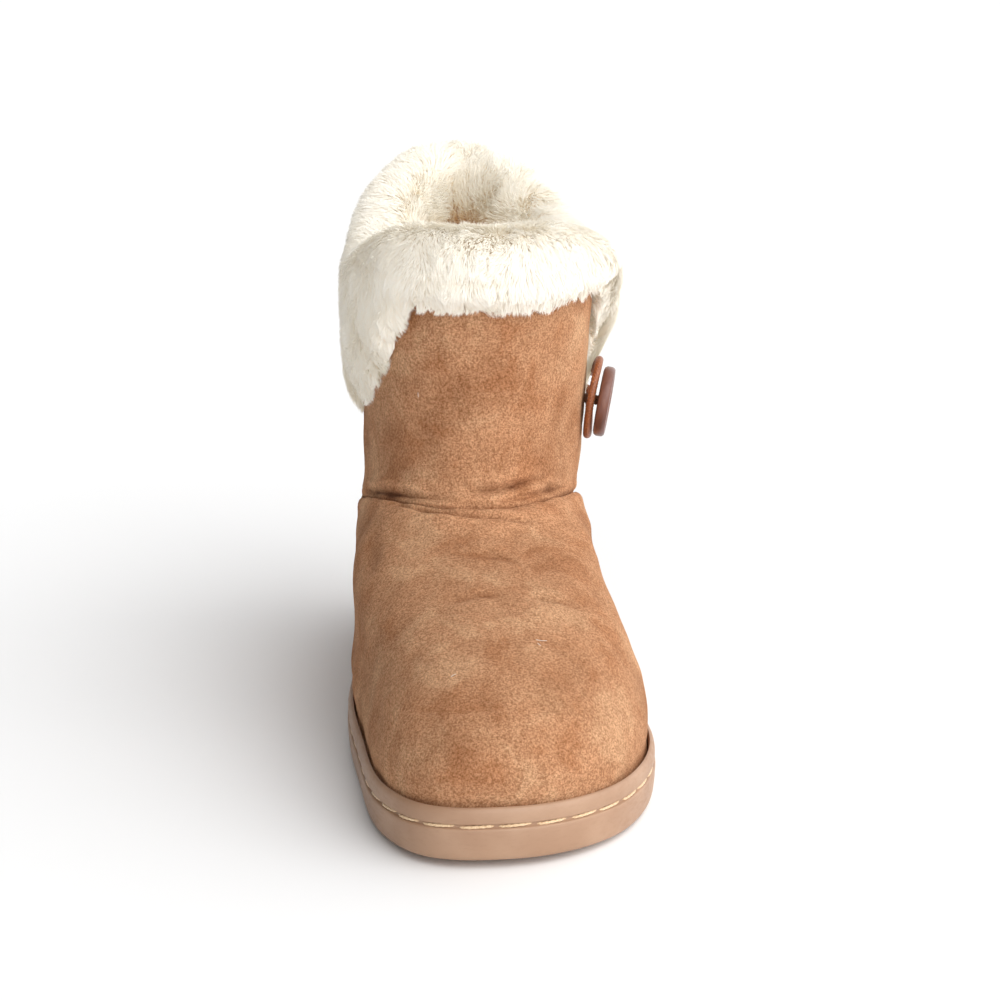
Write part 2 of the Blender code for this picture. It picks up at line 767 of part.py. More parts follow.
def main():
    for old in list(bpy.data.objects):
        bpy.data.objects.remove(old)
    suede = material("suede", (0.50, 0.24, 0.11), 0.92)
    rubber = material("gum_rubber", (0.42, 0.25, 0.15), 0.55)
    fur = material("fur", (0.86, 0.82, 0.72), 0.95)
    fleece = material("fleece", (0.84, 0.78, 0.66), 0.95)
    horn = material("button_horn", (0.17, 0.07, 0.045), 0.45)
    elastic = material("elastic", (0.30, 0.11, 0.045), 0.6)
    build_outsole(rubber)
    build_insole(fleece)
    build_upper(suede)
    build_shaft(suede)
    build_cuff(fur)
    build_button(horn)
    build_loop(elastic)
    centre_on_origin()


main()
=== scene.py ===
"""Looks of the bootie slipper: napped suede, deep fur, moulded sole, stitches, button and cord loop."""

import math

import bmesh
import bpy
import numpy as np
from mathutils import Matrix, Vector


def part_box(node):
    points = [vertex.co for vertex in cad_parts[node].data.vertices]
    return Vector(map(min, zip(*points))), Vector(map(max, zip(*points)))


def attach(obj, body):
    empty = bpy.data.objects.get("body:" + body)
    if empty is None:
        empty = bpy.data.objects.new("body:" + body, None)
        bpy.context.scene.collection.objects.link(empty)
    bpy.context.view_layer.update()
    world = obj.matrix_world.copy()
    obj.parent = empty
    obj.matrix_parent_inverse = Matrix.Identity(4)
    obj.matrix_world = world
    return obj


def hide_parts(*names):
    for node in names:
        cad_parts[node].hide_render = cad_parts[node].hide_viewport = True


MM = 0.001

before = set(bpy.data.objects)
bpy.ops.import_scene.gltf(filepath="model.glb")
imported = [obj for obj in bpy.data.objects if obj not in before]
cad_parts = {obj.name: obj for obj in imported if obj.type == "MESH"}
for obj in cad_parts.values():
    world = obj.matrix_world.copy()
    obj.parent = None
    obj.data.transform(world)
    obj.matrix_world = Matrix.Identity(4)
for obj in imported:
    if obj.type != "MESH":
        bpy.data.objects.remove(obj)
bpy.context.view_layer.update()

# Sizes of the part, as in its source
SOLE_LENGTH = 262 * MM
BALL_WIDTH = 100.4 * MM
SOLE_FLOOR = 11 * MM
SOLE_WALL = 18 * MM
TOE_SPRING = 3.0 * MM
HEEL_SPRING = 1.2 * MM
ARCH_RISE = 1.6 * MM
MEDIAL_WAIST = 6.5 * MM
LATERAL_WAIST = 3.0 * MM
LIP = 2.4 * MM
WALL = 2.5 * MM
ANKLE_HEIGHT = 81 * MM
SEAM_DROP = 18 * MM
TOP_HEIGHT = 164 * MM
ANKLE_WIDTH = 73 * MM
COLLAR_WIDTH = 76 * MM
LATERAL_FLARE = 6.5 * MM
SLIT_FLOOR = 95 * MM
SLIT_HALF = 3.0
HEM_HEIGHT = 150 * MM
OVERHANG = 121.6 * MM
PILE_IN = 19 * MM
LINING_PILE = 6 * MM
INSOLE_THICKNESS = 6 * MM
BUTTON_DIAMETER = 25 * MM
BUTTON_THICKNESS = 4.2 * MM
BUTTON_HEIGHT = 106 * MM
BUTTON_STAND_OFF = 5.0 * MM
BUTTON_TILT = 5.0
BUTTON_ANGLE = 75.0
SHANK_DIAMETER = 4.5 * MM
LOOP_CORD = 2.8 * MM
LOOP_WIDTH = 26 * MM
LOOP_REACH = 25 * MM
LOOP_REST = 0.8 * MM
LOOP_LEAN = 2.0 * MM
SLIT_STEPS = np.array([-3.0, -2.0, -1.0, -0.5, 0.0, 0.5, 1.0, 2.0, 3.0])
SHANK_TURNS = 7
COIL_RADIUS = 1.35 * MM
GAP = 0.3 * MM
SLOT = 0.4 * MM
TREAD_DEPTH = 1.6 * MM
TREAD_WIDTH = 3.2 * MM
TREAD_PITCH = 9.5 * MM
TREAD_RIM = 9 * MM
TREAD_BEND = 5 * MM
SHAFT_ROWS = 8
HALF_LENGTH = SOLE_LENGTH / 2
HALF_BALL = BALL_WIDTH / 2
NOTCHES = {
    "lateral": {"slit": 90.0, "front": 58.0, "back": 130.0, "floor": 124 * MM, "powers": (0.8, 0.8)},
    "medial": {"slit": 268.0, "front": 334.0, "back": 228.0, "floor": 106 * MM, "powers": (2.0, 0.8)},
}

# Sections of the upper, as in the part's source: level is 0 at the feather edge, 1 at the ankle seam
# and 2 at the top edge
SECTION_COLUMNS = ("level", "rise", "toe", "heel", "widest", "width", "front", "back", "waist", "flare")
SECTIONS = [
    (0.00, 0.140, 0.976, 0.976, 0.36, 0.934, 2.45, 2.55, 1.00, 0.00),
    (0.10, 0.240, 0.976, 0.976, 0.36, 0.935, 2.45, 2.55, 1.00, 0.00),
    (0.20, 0.335, 0.981, 0.985, 0.34, 0.946, 2.40, 2.55, 0.95, 0.00),
    (0.30, 0.445, 0.957, 0.993, 0.31, 0.919, 2.28, 2.55, 0.85, 0.00),
    (0.40, 0.555, 0.895, 0.990, 0.25, 0.892, 2.18, 2.50, 0.70, -0.25),
    (0.50, 0.650, 0.790, 0.983, 0.16, 0.878, 2.10, 2.45, 0.50, -0.40),
    (0.60, 0.725, 0.660, 0.974, 0.05, 0.856, 2.06, 2.40, 0.32, -0.42),
    (0.70, 0.795, 0.510, 0.964, -0.07, 0.834, 2.05, 2.35, 0.18, -0.27),
    (0.80, 0.865, 0.345, 0.954, -0.19, 0.808, 2.05, 2.30, 0.08, 0.04),
    (0.90, 0.932, 0.185, 0.944, -0.30, 0.778, 2.08, 2.30, 0.02, 0.10),
    (1.00, 1.000, 0.066, 0.934, -0.38, 0.748, 2.12, 2.30, 0.00, 0.04),
    (1.15, 0.120, 0.020, 0.922, -0.43, 0.000, 2.20, 2.25, 0.00, 0.42),
    (1.35, 0.300, 0.004, 0.918, -0.45, 0.150, 2.20, 2.20, 0.00, 0.70),
    (1.65, 0.620, 0.010, 0.926, -0.45, 0.600, 2.20, 2.15, 0.00, 0.90),
    (2.00, 1.000, 0.020, 0.938, -0.45, 1.000, 2.20, 2.10, 0.00, 1.00),
]
CENTRE = [(-1.0, -8.0), (-0.8, -1.0), (-0.45, 3.7), (0.0, 0.6), (0.42, 2.0), (1.0, 1.2)]
ROLL = [
    (0, 9.0, 177.5), (40, 8.5, 175.5), (70, 10.5, 168.5), (94, 10.5, 161.0), (118, 6.0, 170.0),
    (145, 7.0, 181.0), (165, 8.5, 185.0), (180, 8.5, 185.5), (200, 8.0, 184.5), (225, 5.5, 178.0),
    (245, 5.0, 168.0), (266, 6.5, 160.0), (290, 6.5, 168.5), (320, 7.5, 176.5), (360, 9.0, 177.5),
]

# Camera, at the photograph's angle to the shoe
CAMERA_AZIMUTH = -6.1
CAMERA_ELEVATION = 16.7
CAMERA_DISTANCE = 1100 * MM
CAMERA_AIM = Vector((-1, -32, 91)) * MM
CAMERA_LENS = 118.8

# Strength of the white surroundings at the shoe's inner and outer side
SKY_LEFT = 0.08
SKY_RIGHT = 1.9
FLOOR_SIZE = 12.0


def smooth(t):
    t = np.clip(t, 0.0, 1.0)
    return t * t * (3 - 2 * t)


def bell(distance, width):
    return np.exp(-((distance / width) ** 2))


def unit(v):
    return v / np.maximum(1e-12, np.linalg.norm(v, axis=-1, keepdims=True))


def hermite(xs, ys, tangents, x):
    """Cubic curve through the points (xs, ys) with these tangents, read at x."""
    i = np.clip(np.searchsorted(xs, x) - 1, 0, len(xs) - 2)
    h = xs[i + 1] - xs[i]
    t = (x - xs[i]) / h
    return (
        (1 + 2 * t) * (1 - t) ** 2 * ys[i]
        + t * (1 - t) ** 2 * h * tangents[i]
        + t * t * (3 - 2 * t) * ys[i + 1]
        + t * t * (t - 1) * h * tangents[i + 1]
    )


def through(xs, ys, x):
    """Monotone cubic curve through the points (xs, ys), read at x, a number or an array."""
    xs, ys = np.asarray(xs, float), np.asarray(ys, float)
    x = np.clip(np.asarray(x, float), xs[0], xs[-1])
    slopes = np.diff(ys) / np.diff(xs)
    tangents = np.empty(len(xs))
    tangents[0], tangents[-1] = slopes[0], slopes[-1]
    before, after = slopes[:-1], slopes[1:]
    total = np.where(before + after == 0, 1.0, before + after)
    tangents[1:-1] = np.where(before * after <= 0, 0.0, 2 * before * after / total)
    return hermite(xs, ys, tangents, x)


def run_along(line):
    """The length so far at each point of a line."""
    return np.concatenate([[0.0], np.cumsum(np.linalg.norm(np.diff(line, axis=0), axis=1))])


def read_line(line, run, at):
    """A line's points, or values kept along it, at these lengths."""
    return np.stack([np.interp(at, run, line[:, k]) for k in range(3)], axis=1)


def column(name, rows=SECTIONS):
    return [row[SECTION_COLUMNS.index(name)] for row in rows]


def section(level):
    """The sizes of the sections at these levels, in metres."""
    at = {name: through(column("level"), column(name), level) for name in SECTION_COLUMNS}
    leg = [row for row in SECTIONS if row[0] > 1.0]
    leg_levels = [1.0] + column("level", leg)
    rise = through(leg_levels, [0.0] + column("rise", leg), level)
    spread = through(leg_levels, [0.0] + column("width", leg), level)
    seam_half = SECTIONS[10][5] * HALF_BALL
    leg_half = (ANKLE_WIDTH + spread * (COLLAR_WIDTH - ANKLE_WIDTH)) / 2
    leg_half = seam_half + (leg_half - seam_half) * smooth((level - 1.0) / 0.15)
    above = level > 1.0
    at["z"] = np.where(above, ANKLE_HEIGHT + rise * (TOP_HEIGHT - ANKLE_HEIGHT), at["rise"] * ANKLE_HEIGHT)
    at["half"] = np.where(above, leg_half, at["width"] * HALF_BALL)
    return at


def lift(y):
    toe = np.maximum(0.0, (-y - 0.38 * HALF_LENGTH) / (0.62 * HALF_LENGTH))
    heel = np.maximum(0.0, (y - 0.8 * HALF_LENGTH) / (0.2 * HALF_LENGTH))
    return TOE_SPRING * toe**2 + HEEL_SPRING * heel**2


def centre_line(y):
    return through([row[0] for row in CENTRE], [row[1] for row in CENTRE], y / HALF_LENGTH) * MM


def rounded_outline(at, angle):
    """Points of the sections' outlines before centring. 0 degrees is the toe, 90 the lateral side."""
    c, s = np.cos(np.radians(angle)), np.sin(np.radians(angle))
    widest = -at["widest"] * HALF_LENGTH
    end = np.where(c > 0, -at["toe"] * HALF_LENGTH, at["heel"] * HALF_LENGTH)
    power = np.where(c > 0, at["front"], at["back"])
    along = np.abs(c) ** (2 / power)
    across = np.abs(s) ** (2 / power)
    y = widest + (end - widest) * along
    waist = np.where(s > 0, LATERAL_WAIST, MEDIAL_WAIST) * at["waist"]
    narrow = np.where(c < 0, waist * np.sin(np.pi * along) ** 2, 0.0)
    half = at["half"] + np.where(s > 0, LATERAL_FLARE * at["flare"], 0.0)
    x = np.sign(s) * np.maximum(0.0, half * across - narrow * np.minimum(1.0, 2 * across))
    return centre_line(y) + x, y


def cup_outline(inset, angle):
    """The sole's outline before centring, moved in square to it."""
    at = section(np.zeros(np.shape(angle)))
    ax, ay = rounded_outline(at, angle + 1.0)
    bx, by = rounded_outline(at, angle - 1.0)
    x, y = rounded_outline(at, angle)
    length = np.hypot(ax - bx, ay - by)
    out_x, out_y = -(ay - by) / length, (ax - bx) / length
    flip = np.where(out_x * (x - centre_line(y)) + out_y * y < 0, -1.0, 1.0)
    reach = (LIP + GAP - inset) * flip
    return x + out_x * reach, y + out_y * reach


FOOT_ANGLES = np.arange(54) * 360 / 54
sole_low, sole_high = (np.array(corner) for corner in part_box("outsole"))
outline_x, outline_y = cup_outline(0.0, FOOT_ANGLES)
SHIFT_X = (sole_low[0] + sole_high[0] - outline_x.min() - outline_x.max()) / 2
SHIFT_Y = (sole_low[1] + sole_high[1] - outline_y.min() - outline_y.max()) / 2


def surface(level, angle):
    """Points of the upper's outer surface, in the frame."""
    level, angle = np.broadcast_arrays(np.asarray(level, float), np.asarray(angle, float))
    at = section(level)
    x, y = rounded_outline(at, angle)
    back = smooth((y + 0.05 * HALF_LENGTH) / (0.7 * HALF_LENGTH))
    seam_share = through([0.0, 0.3, 1.0, 2.0], [0.0, 0.3, 1.0, 0.0], level)
    z = at["z"] - SEAM_DROP * seam_share * back + lift(y) * np.maximum(0.0, 1.0 - level)
    return np.stack([x + SHIFT_X, y + SHIFT_Y, z], axis=-1)


def normal(level, angle):
    """Outward directions of the upper's surface."""
    low, high = np.maximum(0.0, level - 0.01), np.minimum(2.0, level + 0.01)
    up = surface(high, angle) - surface(low, angle)
    up = np.where((low == 0.0)[..., None] if np.ndim(low) else low == 0.0, np.array([0.0, 0.0, 1.0]), up)
    around = surface(level, angle + 1.0) - surface(level, angle - 1.0)
    return unit(np.cross(around, up))


def lifted(level, angle, away):
    """Points this far off the upper's surface."""
    return surface(level, angle) + normal(level, angle) * np.asarray(away)[..., None]


def bisected(low, high, is_low, rounds):
    """Where is_low turns from true to false between low and high."""
    for _ in range(rounds):
        middle = (low + high) / 2
        below = is_low(middle)
        low, high = np.where(below, middle, low), np.where(below, high, middle)
    return (low + high) / 2


def level_at(angle, z):
    """Levels of the leg's surface at these heights."""
    angle, z = np.broadcast_arrays(np.asarray(angle, float), np.asarray(z, float))
    return bisected(np.ones(z.shape), np.full(z.shape, 2.0), lambda at: surface(at, angle)[..., 2] < z, 16)


def notch_drop(angle):
    """How far the shaft's top edge comes down at each angle."""
    angle = np.asarray(angle, float) % 360
    drop = np.zeros(angle.shape)
    for notch in NOTCHES.values():
        low, high = sorted((notch["front"], notch["back"]))
        off = angle - notch["slit"]
        to_front = off * (notch["front"] - notch["slit"]) > 0
        corner = np.where(to_front, notch["front"], notch["back"])
        share = np.abs(off) / np.abs(corner - notch["slit"])
        power = np.where(to_front, *notch["powers"])
        slit = np.maximum(0.0, 1.0 - np.abs(off) / SLIT_HALF) * (notch["floor"] - SLIT_FLOOR)
        deep = (TOP_HEIGHT - notch["floor"]) * (1 - np.minimum(1.0, share) ** power) + slit
        drop = np.where((angle > low) & (angle < high), deep, drop)
    return drop


def top_level(angle):
    return level_at(angle, TOP_HEIGHT - notch_drop(angle))


# Soft relief of the suede. Each crease is a line of (angle, level) points on the shoe's surface, with its
# depth and half width in millimetres. A negative depth is a ridge.
CREASES = [
    ([(-84, 1.04), (-64, 1.035), (-38, 1.035), (-14, 1.05)], 2.8, 1.5),
    ([(-72, 1.09), (-50, 1.09), (-26, 1.10)], -0.8, 3.0),
    ([(-52, 0.975), (-20, 0.970), (2, 0.957), (14, 0.942), (27, 0.93)], 2.8, 1.5),
    ([(-30, 0.94), (-6, 0.925), (12, 0.90)], -0.7, 3.2),
    ([(-8, 1.085), (10, 1.09), (34, 1.105)], 2.4, 1.4),
    ([(-2, 1.14), (14, 1.145), (34, 1.16)], -0.5, 3.0),
    ([(8, 1.03), (34, 1.04), (60, 1.035)], 2.0, 1.3),
    ([(-17, 0.853), (-2, 0.85), (11, 0.82)], 1.3, 1.8),
    ([(-12, 0.88), (2, 0.878), (14, 0.85)], -0.5, 3.4),
    ([(-26, 0.71), (-10, 0.74), (0, 0.745)], 1.1, 2.0),
    ([(10, 0.733), (22, 0.71), (36, 0.665)], 1.3, 1.9),
    ([(8, 0.70), (20, 0.675), (32, 0.63)], -0.5, 4.0),
    ([(38, 0.66), (46, 0.60), (56, 0.52)], -0.8, 3.6),
    ([(44, 0.72), (54, 0.64), (62, 0.55)], 0.6, 3.4),
    ([(-20, 1.13), (0, 1.32), (32, 1.46)], -0.7, 7.0),
    ([(-34, 1.30), (-10, 1.50), (10, 1.68)], 0.6, 7.0),
    ([(-60, 0.90), (-66, 0.80), (-68, 0.68)], 0.7, 3.4),
    ([(62, 0.93), (70, 0.84), (74, 0.70)], 0.7, 3.4),
    ([(108, 1.03), (130, 1.06), (150, 1.05)], 1.2, 2.4),
    ([(120, 1.12), (142, 1.15), (168, 1.13)], 0.8, 3.0),
    ([(150, 0.93), (176, 0.95), (200, 0.94)], 0.9, 2.8),
    ([(196, 1.05), (218, 1.09), (244, 1.06)], 1.2, 2.6),
    ([(206, 1.20), (226, 1.24), (248, 1.20)], 0.7, 3.6),
    ([(100, 0.80), (120, 0.72), (136, 0.62)], 0.6, 3.6),
    ([(222, 0.66), (240, 0.76), (258, 0.84)], 0.6, 3.6),
]
DEEPEST = 2.2 * MM
SHARP_FOLD = 0.9

# Heights of points of the side seams, and how far each lies behind the middle of the shoe
SIDE_SEAM = (np.array([0, 78, 100, 164]) * MM, np.array([50, 51, 57.5, 59]) * MM)
MEDIAL_SEAM_BACK = 3.0 * MM


def wander(points, wave, seed):
    """Smooth noise, about -1 to 1, whose waves are about this long, in metres."""
    rng = np.random.default_rng(seed)
    total = np.zeros(points.shape[:-1])
    for _ in range(7):
        direction = unit(rng.normal(size=3))
        length = wave * rng.uniform(0.7, 1.5)
        total += np.sin(points @ direction * (2 * np.pi / length) + rng.uniform(0, 2 * np.pi))
    return total / 3.2


def distance_to_line(points, line):
    """Shortest distance to a line of 3-D points, and 0 to 1 along it."""
    steps = np.linalg.norm(np.diff(line, axis=0), axis=1)
    starts = np.concatenate([[0.0], np.cumsum(steps)])
    best = np.full(points.shape[:-1], 1e9)
    place = np.zeros(points.shape[:-1])
    for i, step in enumerate(steps):
        way = line[i + 1] - line[i]
        t = np.clip(((points - line[i]) @ way) / step**2, 0.0, 1.0)
        away = np.linalg.norm(points - line[i] - t[..., None] * way, axis=-1)
        near = away < best
        best = np.where(near, away, best)
        place = np.where(near, (starts[i] + t * step) / starts[-1], place)
    return best, place


def relief(points, level, angle):
    """How far the suede stands out of (above 0) or sinks into the plain surface, in metres."""
    total = 0.40 * MM * wander(points, 46 * MM, 3) + 0.20 * MM * wander(points, 17 * MM, 4)
    for line, depth, width in CREASES:
        guide = np.array(line, float)
        steps = np.linspace(0, len(guide) - 1, 6 * len(guide))
        along = np.stack([through(range(len(guide)), guide[:, i], steps) for i in (0, 1)], axis=-1)
        away, place = distance_to_line(points, surface(along[:, 1], along[:, 0]))
        away = np.abs(away + 0.4 * MM * wander(points, 9 * MM, 6)) / (width * MM)
        taper = np.sin(np.pi * np.clip(place, 0.02, 0.98)) ** 0.7
        sharp = np.exp(-away / 0.7) - 0.35 * bell(away - 2.0, 1.0)
        total -= depth * MM * taper * (sharp if depth > SHARP_FOLD else bell(away, 1.0))
    near = np.where(level < 1.0, 0.985, 1.005)
    reach = np.linalg.norm(surface(near + 0.01, angle) - surface(near, angle), axis=-1) / 0.01
    seam_off = (level - 1.0) * reach
    total -= 1.6 * MM * np.exp(-np.abs(seam_off) / (0.9 * MM))
    total += 0.8 * MM * bell(seam_off + 4.5 * MM, 3.6 * MM)
    total += 0.35 * MM * bell(seam_off - 3.0 * MM, 2.2 * MM)
    total += 0.30 * MM * wander(points, 8 * MM, 7) * np.exp(-np.abs(seam_off) / (5 * MM))
    behind = through(*SIDE_SEAM, points[..., 2]) + np.where(angle % 360 > 180, MEDIAL_SEAM_BACK, 0.0)
    side_off = points[..., 1] - SHIFT_Y - behind
    low_part = smooth((SLIT_FLOOR + 3 * MM - points[..., 2]) / (6 * MM))
    total -= 0.8 * MM * low_part * bell(side_off, 1.3 * MM)
    total += 0.35 * MM * low_part * bell(np.abs(side_off) - 2.6 * MM, 1.6 * MM)
    feather = points[..., 2] - SOLE_WALL - lift(points[..., 1] - SHIFT_Y)
    total -= 0.5 * MM * bell(feather, 1.6 * MM) * (level < 0.5)
    total = np.where(total < 0, DEEPEST * np.tanh(total / DEEPEST), total)
    return total * smooth(level / 0.05)


def placed(name, data):
    """A new object in the scene with this data."""
    made = bpy.data.objects.new(name, data)
    bpy.context.scene.collection.objects.link(made)
    return made


def object_from_arrays(name, points, faces, materials, slots=None):
    """Mesh object from an array of points and an array of faces with one count of corners."""
    mesh = bpy.data.meshes.new(name)
    points, faces = np.asarray(points, np.float32), np.asarray(faces, np.int32)
    mesh.vertices.add(len(points))
    mesh.vertices.foreach_set("co", points.ravel())
    mesh.loops.add(faces.size)
    mesh.loops.foreach_set("vertex_index", faces.ravel())
    mesh.polygons.add(len(faces))
    mesh.polygons.foreach_set("loop_start", np.arange(0, faces.size, faces.shape[1], dtype=np.int32))
    if slots is not None:
        mesh.polygons.foreach_set("material_index", np.asarray(slots, np.int32))
    for material in materials:
        mesh.materials.append(material)
    mesh.update(calc_edges=True)
    mesh.polygons.foreach_set("use_smooth", np.full(len(faces), True))
    made = placed(name, mesh)
    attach(made, "root")
    return made


def shade_points(made, name, values):
    """Keeps a number at each point of a mesh, for its material."""
    kept = made.data.attributes.new(name, "FLOAT", "POINT")
    kept.data.foreach_set("value", values.astype(np.float32).ravel())


def shell_quads(rows, count, wrap=0):
    """Quads of a stack of rings. With a wrap of 1, the last ring is joined to the first."""
    numbers = np.arange(rows * count).reshape(rows, count)
    after = np.roll(numbers, -1, axis=1)
    strips = []
    for i in range(rows - 1 + wrap):
        j = (i + 1) % rows
        strips.append(np.stack([numbers[i], after[i], after[j], numbers[j]], axis=1))
    return np.concatenate(strips)


def halved(quads):
    return np.concatenate([quads[:, [0, 1, 2]], quads[:, [0, 2, 3]]])


def closed_tube(rings):
    """Points and quads of a closed shell made of rings, the last joined to the first."""
    return rings.reshape(-1, 3), shell_quads(*rings.shape[:2], wrap=1)


def fill_ring(count, start):
    """Triangles across a ring whose first point is the toe and middle point the heel."""
    half = count // 2
    faces = [(0, 1, count - 1), (half - 1, half, half + 1)]
    for i in range(1, half - 1):
        faces += [(i, i + 1, count - i - 1), (i, count - i - 1, count - i)]
    return np.array(faces) + start


def capped_shell(rings):
    """Points and triangles of a stack of rings, filled at both ends."""
    rows, count = rings.shape[:2]
    ends = [fill_ring(count, 0)[:, ::-1], fill_ring(count, (rows - 1) * count)]
    return rings.reshape(-1, 3), np.concatenate([halved(shell_quads(rows, count)), *ends])


def tube(path, radii, sides, twist=0.0, lobes=0, lobe_depth=0.0):
    """Points and triangles of a closed tube along a path; lobes turning round it look like plies."""
    count = len(path)
    tangents = unit(np.gradient(path, axis=0))
    side = unit(np.cross(tangents, [0.13, 0.21, 0.97]))
    up = np.cross(side, tangents)
    turn = np.linspace(0, 2 * np.pi, sides, endpoint=False)[None]
    wave = 1 + lobe_depth * np.cos(lobes * (turn - twist * run_along(path)[:, None]))
    reach = (np.broadcast_to(radii, count)[:, None] * wave)[..., None]
    turn = turn[..., None]
    rings = path[:, None] + reach * (np.cos(turn) * side[:, None] + np.sin(turn) * up[:, None])
    points = np.concatenate([rings.reshape(-1, 3), path[:1], path[-1:]])
    first = np.arange(sides)
    last = first + (count - 1) * sides
    middle = np.full(sides, count * sides)
    start = np.stack([np.roll(first, -1), first, middle], axis=1)
    end = np.stack([last, np.roll(last, -1), middle + 1], axis=1)
    return points, np.concatenate([halved(shell_quads(count, sides)), start, end])[:, ::-1]


def joined(parts):
    """One array of points and one of faces from several."""
    points, faces, start = [], [], 0
    for some_points, some_faces in parts:
        points.append(some_points)
        faces.append(some_faces + start)
        start += len(some_points)
    return np.concatenate(points), np.concatenate(faces)


def mesh_from(form, name):
    """A mesh of this name from a bmesh."""
    mesh = bpy.data.meshes.new(name)
    form.to_mesh(mesh)
    form.free()
    return mesh


def cut_away(made, form, name):
    """Cuts a bmesh's form out of an object."""
    cutter = placed(name, mesh_from(form, name))
    cut = made.modifiers.new(name, "BOOLEAN")
    cut.operation = "DIFFERENCE"
    cut.object = cutter
    graph = bpy.context.evaluated_depsgraph_get()
    shaped = bpy.data.meshes.new_from_object(made.evaluated_get(graph))
    made.modifiers.clear()
    made.data = shaped
    bpy.data.objects.remove(cutter)


# Materials


def put(node, values):
    """Sets a node's sockets, by name or number. A value that is another node's socket is linked."""
    for key, value in values.items():
        if isinstance(value, bpy.types.NodeSocket):
            node.id_data.links.new(value, node.inputs[key])
        else:
            node.inputs[key].default_value = value


class Nodes:
    """A new material with a Principled shader, and short ways to add nodes to it."""

    def __init__(self, name):
        self.material = bpy.data.materials.new(name)
        self.material.use_nodes = True
        self.shader = self.material.node_tree.nodes["Principled BSDF"]
        self.place = self.node("TexCoord").outputs["Object"]

    def node(self, kind, **values):
        made = self.material.node_tree.nodes.new("ShaderNode" + kind)
        put(made, values)
        return made

    def noise(self, size, detail=3.0, roughness=0.55, distortion=0.0, squash=None):
        """Noise whose grains are about this size, in metres."""
        place = self.place
        if squash:
            place = self.node("Mapping", Scale=squash, Vector=place).outputs["Vector"]
        grains = {"Scale": 1.0 / size, "Detail": detail, "Roughness": roughness, "Distortion": distortion}
        return self.node("TexNoise", Vector=place, **grains).outputs["Fac"]

    def ramp(self, value, stops):
        """Colours between stops, each a place and its red, green and blue."""
        node = self.node("ValToRGB", Fac=value)
        ramp = node.color_ramp
        ramp.interpolation = "EASE"
        while len(ramp.elements) < len(stops):
            ramp.elements.new(0.5)
        for element, (position, *colour) in zip(ramp.elements, stops):
            element.position = position
            element.color = (*colour, 1.0)
        return node.outputs["Color"]

    def shaded(self, colour, shades):
        """A colour multiplied by ramps, each an amount, the value that it reads and its stops."""
        for amount, value, stops in shades:
            node = self.node("Mix")
            node.data_type = "RGBA"
            node.blend_type = "MULTIPLY"
            put(node, {0: amount, 6: colour, 7: self.ramp(value, stops)})
            colour = node.outputs[2]
        return colour

    def attribute(self, name):
        node = self.node("Attribute")
        node.attribute_name = name
        return node.outputs["Fac"]

    def finish(self, bumps, **values):
        """Sets the shader's sockets, named with _ for a space, and gives the material. Each bump is a height
        output, its strength and its real height in metres."""
        put(self.shader, {name.replace("_", " "): value for name, value in values.items()})
        before = {}
        for height, strength, distance in bumps:
            node = self.node("Bump", Strength=strength, Distance=distance, Height=height, **before)
            before = {"Normal": node.outputs["Normal"]}
        put(self.shader, before)
        return self.material


def linear(red, green, blue):
    """A colour read as 0 to 255 steps of a screen, as linear light."""
    steps = [value / 255 for value in (red, green, blue)]
    return tuple(v / 12.92 if v <= 0.04045 else ((v + 0.055) / 1.055) ** 2.4 for v in steps)


def tones(*stops):
    """Stops of a ramp whose colours are read as steps of a screen."""
    return [(place, *linear(*colour)) for place, *colour in stops]


def toned_material(name, noise, stops, bumps, **values):
    """A material coloured by one noise. A bump's size of 0 stands for that noise, others for finer ones."""
    n = Nodes(name)
    own = n.noise(*noise)
    heights = [(n.noise(size) if size else own, strength, height) for size, strength, height in bumps]
    return n.finish(heights, Base_Color=n.ramp(own, stops), **values)


def suede_material():
    """Faux suede: pebbled nap, brushed patches, a velvet edge, painted shade in the relief's valleys and
    painted light on its ridges.
    """
    n = Nodes("suede")
    patches = n.noise(19 * MM, 5.0, 0.62, 0.5)
    brushed = n.noise(5 * MM, 4.0, 0.6, 0.8, (1.0, 1.0, 0.7))
    pebble = n.noise(0.8 * MM, 4.0, 0.75, 0.1)
    grain = n.noise(0.36 * MM, 2.0, 0.6)
    # Painted shade and light: the relief's height makes the valleys darker and the ridges lighter
    high = n.node("Math")
    high.operation = "MULTIPLY_ADD"
    put(high, {0: n.attribute("high"), 1: 0.25, 2: 0.5})
    valley_shade_ridge_light = [(0.05, 0.36, 0.27, 0.23), (0.34, 0.84, 0.80, 0.77)]
    valley_shade_ridge_light += [(0.50, 1.0, 1.0, 1.0), (0.78, 1.12, 1.13, 1.14)]
    plain = n.ramp(patches, tones((0.36, 174, 122, 86), (0.50, 186, 137, 101), (0.66, 199, 154, 117)))
    shades = [
        (0.45, brushed, [(0.34, 0.86, 0.83, 0.80), (0.62, 1.06, 1.06, 1.06)]),
        (0.85, pebble, [(0.38, 0.62, 0.55, 0.50), (0.60, 1.22, 1.26, 1.30)]),
        (0.8, grain, [(0.30, 0.72, 0.69, 0.66), (0.65, 1.16, 1.17, 1.18)]),
        (1.0, high.outputs[0], valley_shade_ridge_light),
    ]
    bumps = [(patches, 0.25, 1.5 * MM), (brushed, 0.25, 0.8 * MM), (pebble, 0.9, 0.6 * MM)]
    return n.finish(
        [*bumps, (grain, 0.6, 0.18 * MM)],
        Base_Color=n.shaded(plain, shades),
        Roughness=0.95,
        Specular_IOR_Level=0.12,
        Sheen_Weight=0.15,
        Sheen_Roughness=0.4,
        Sheen_Tint=(*linear(245, 205, 165), 1.0),
    )


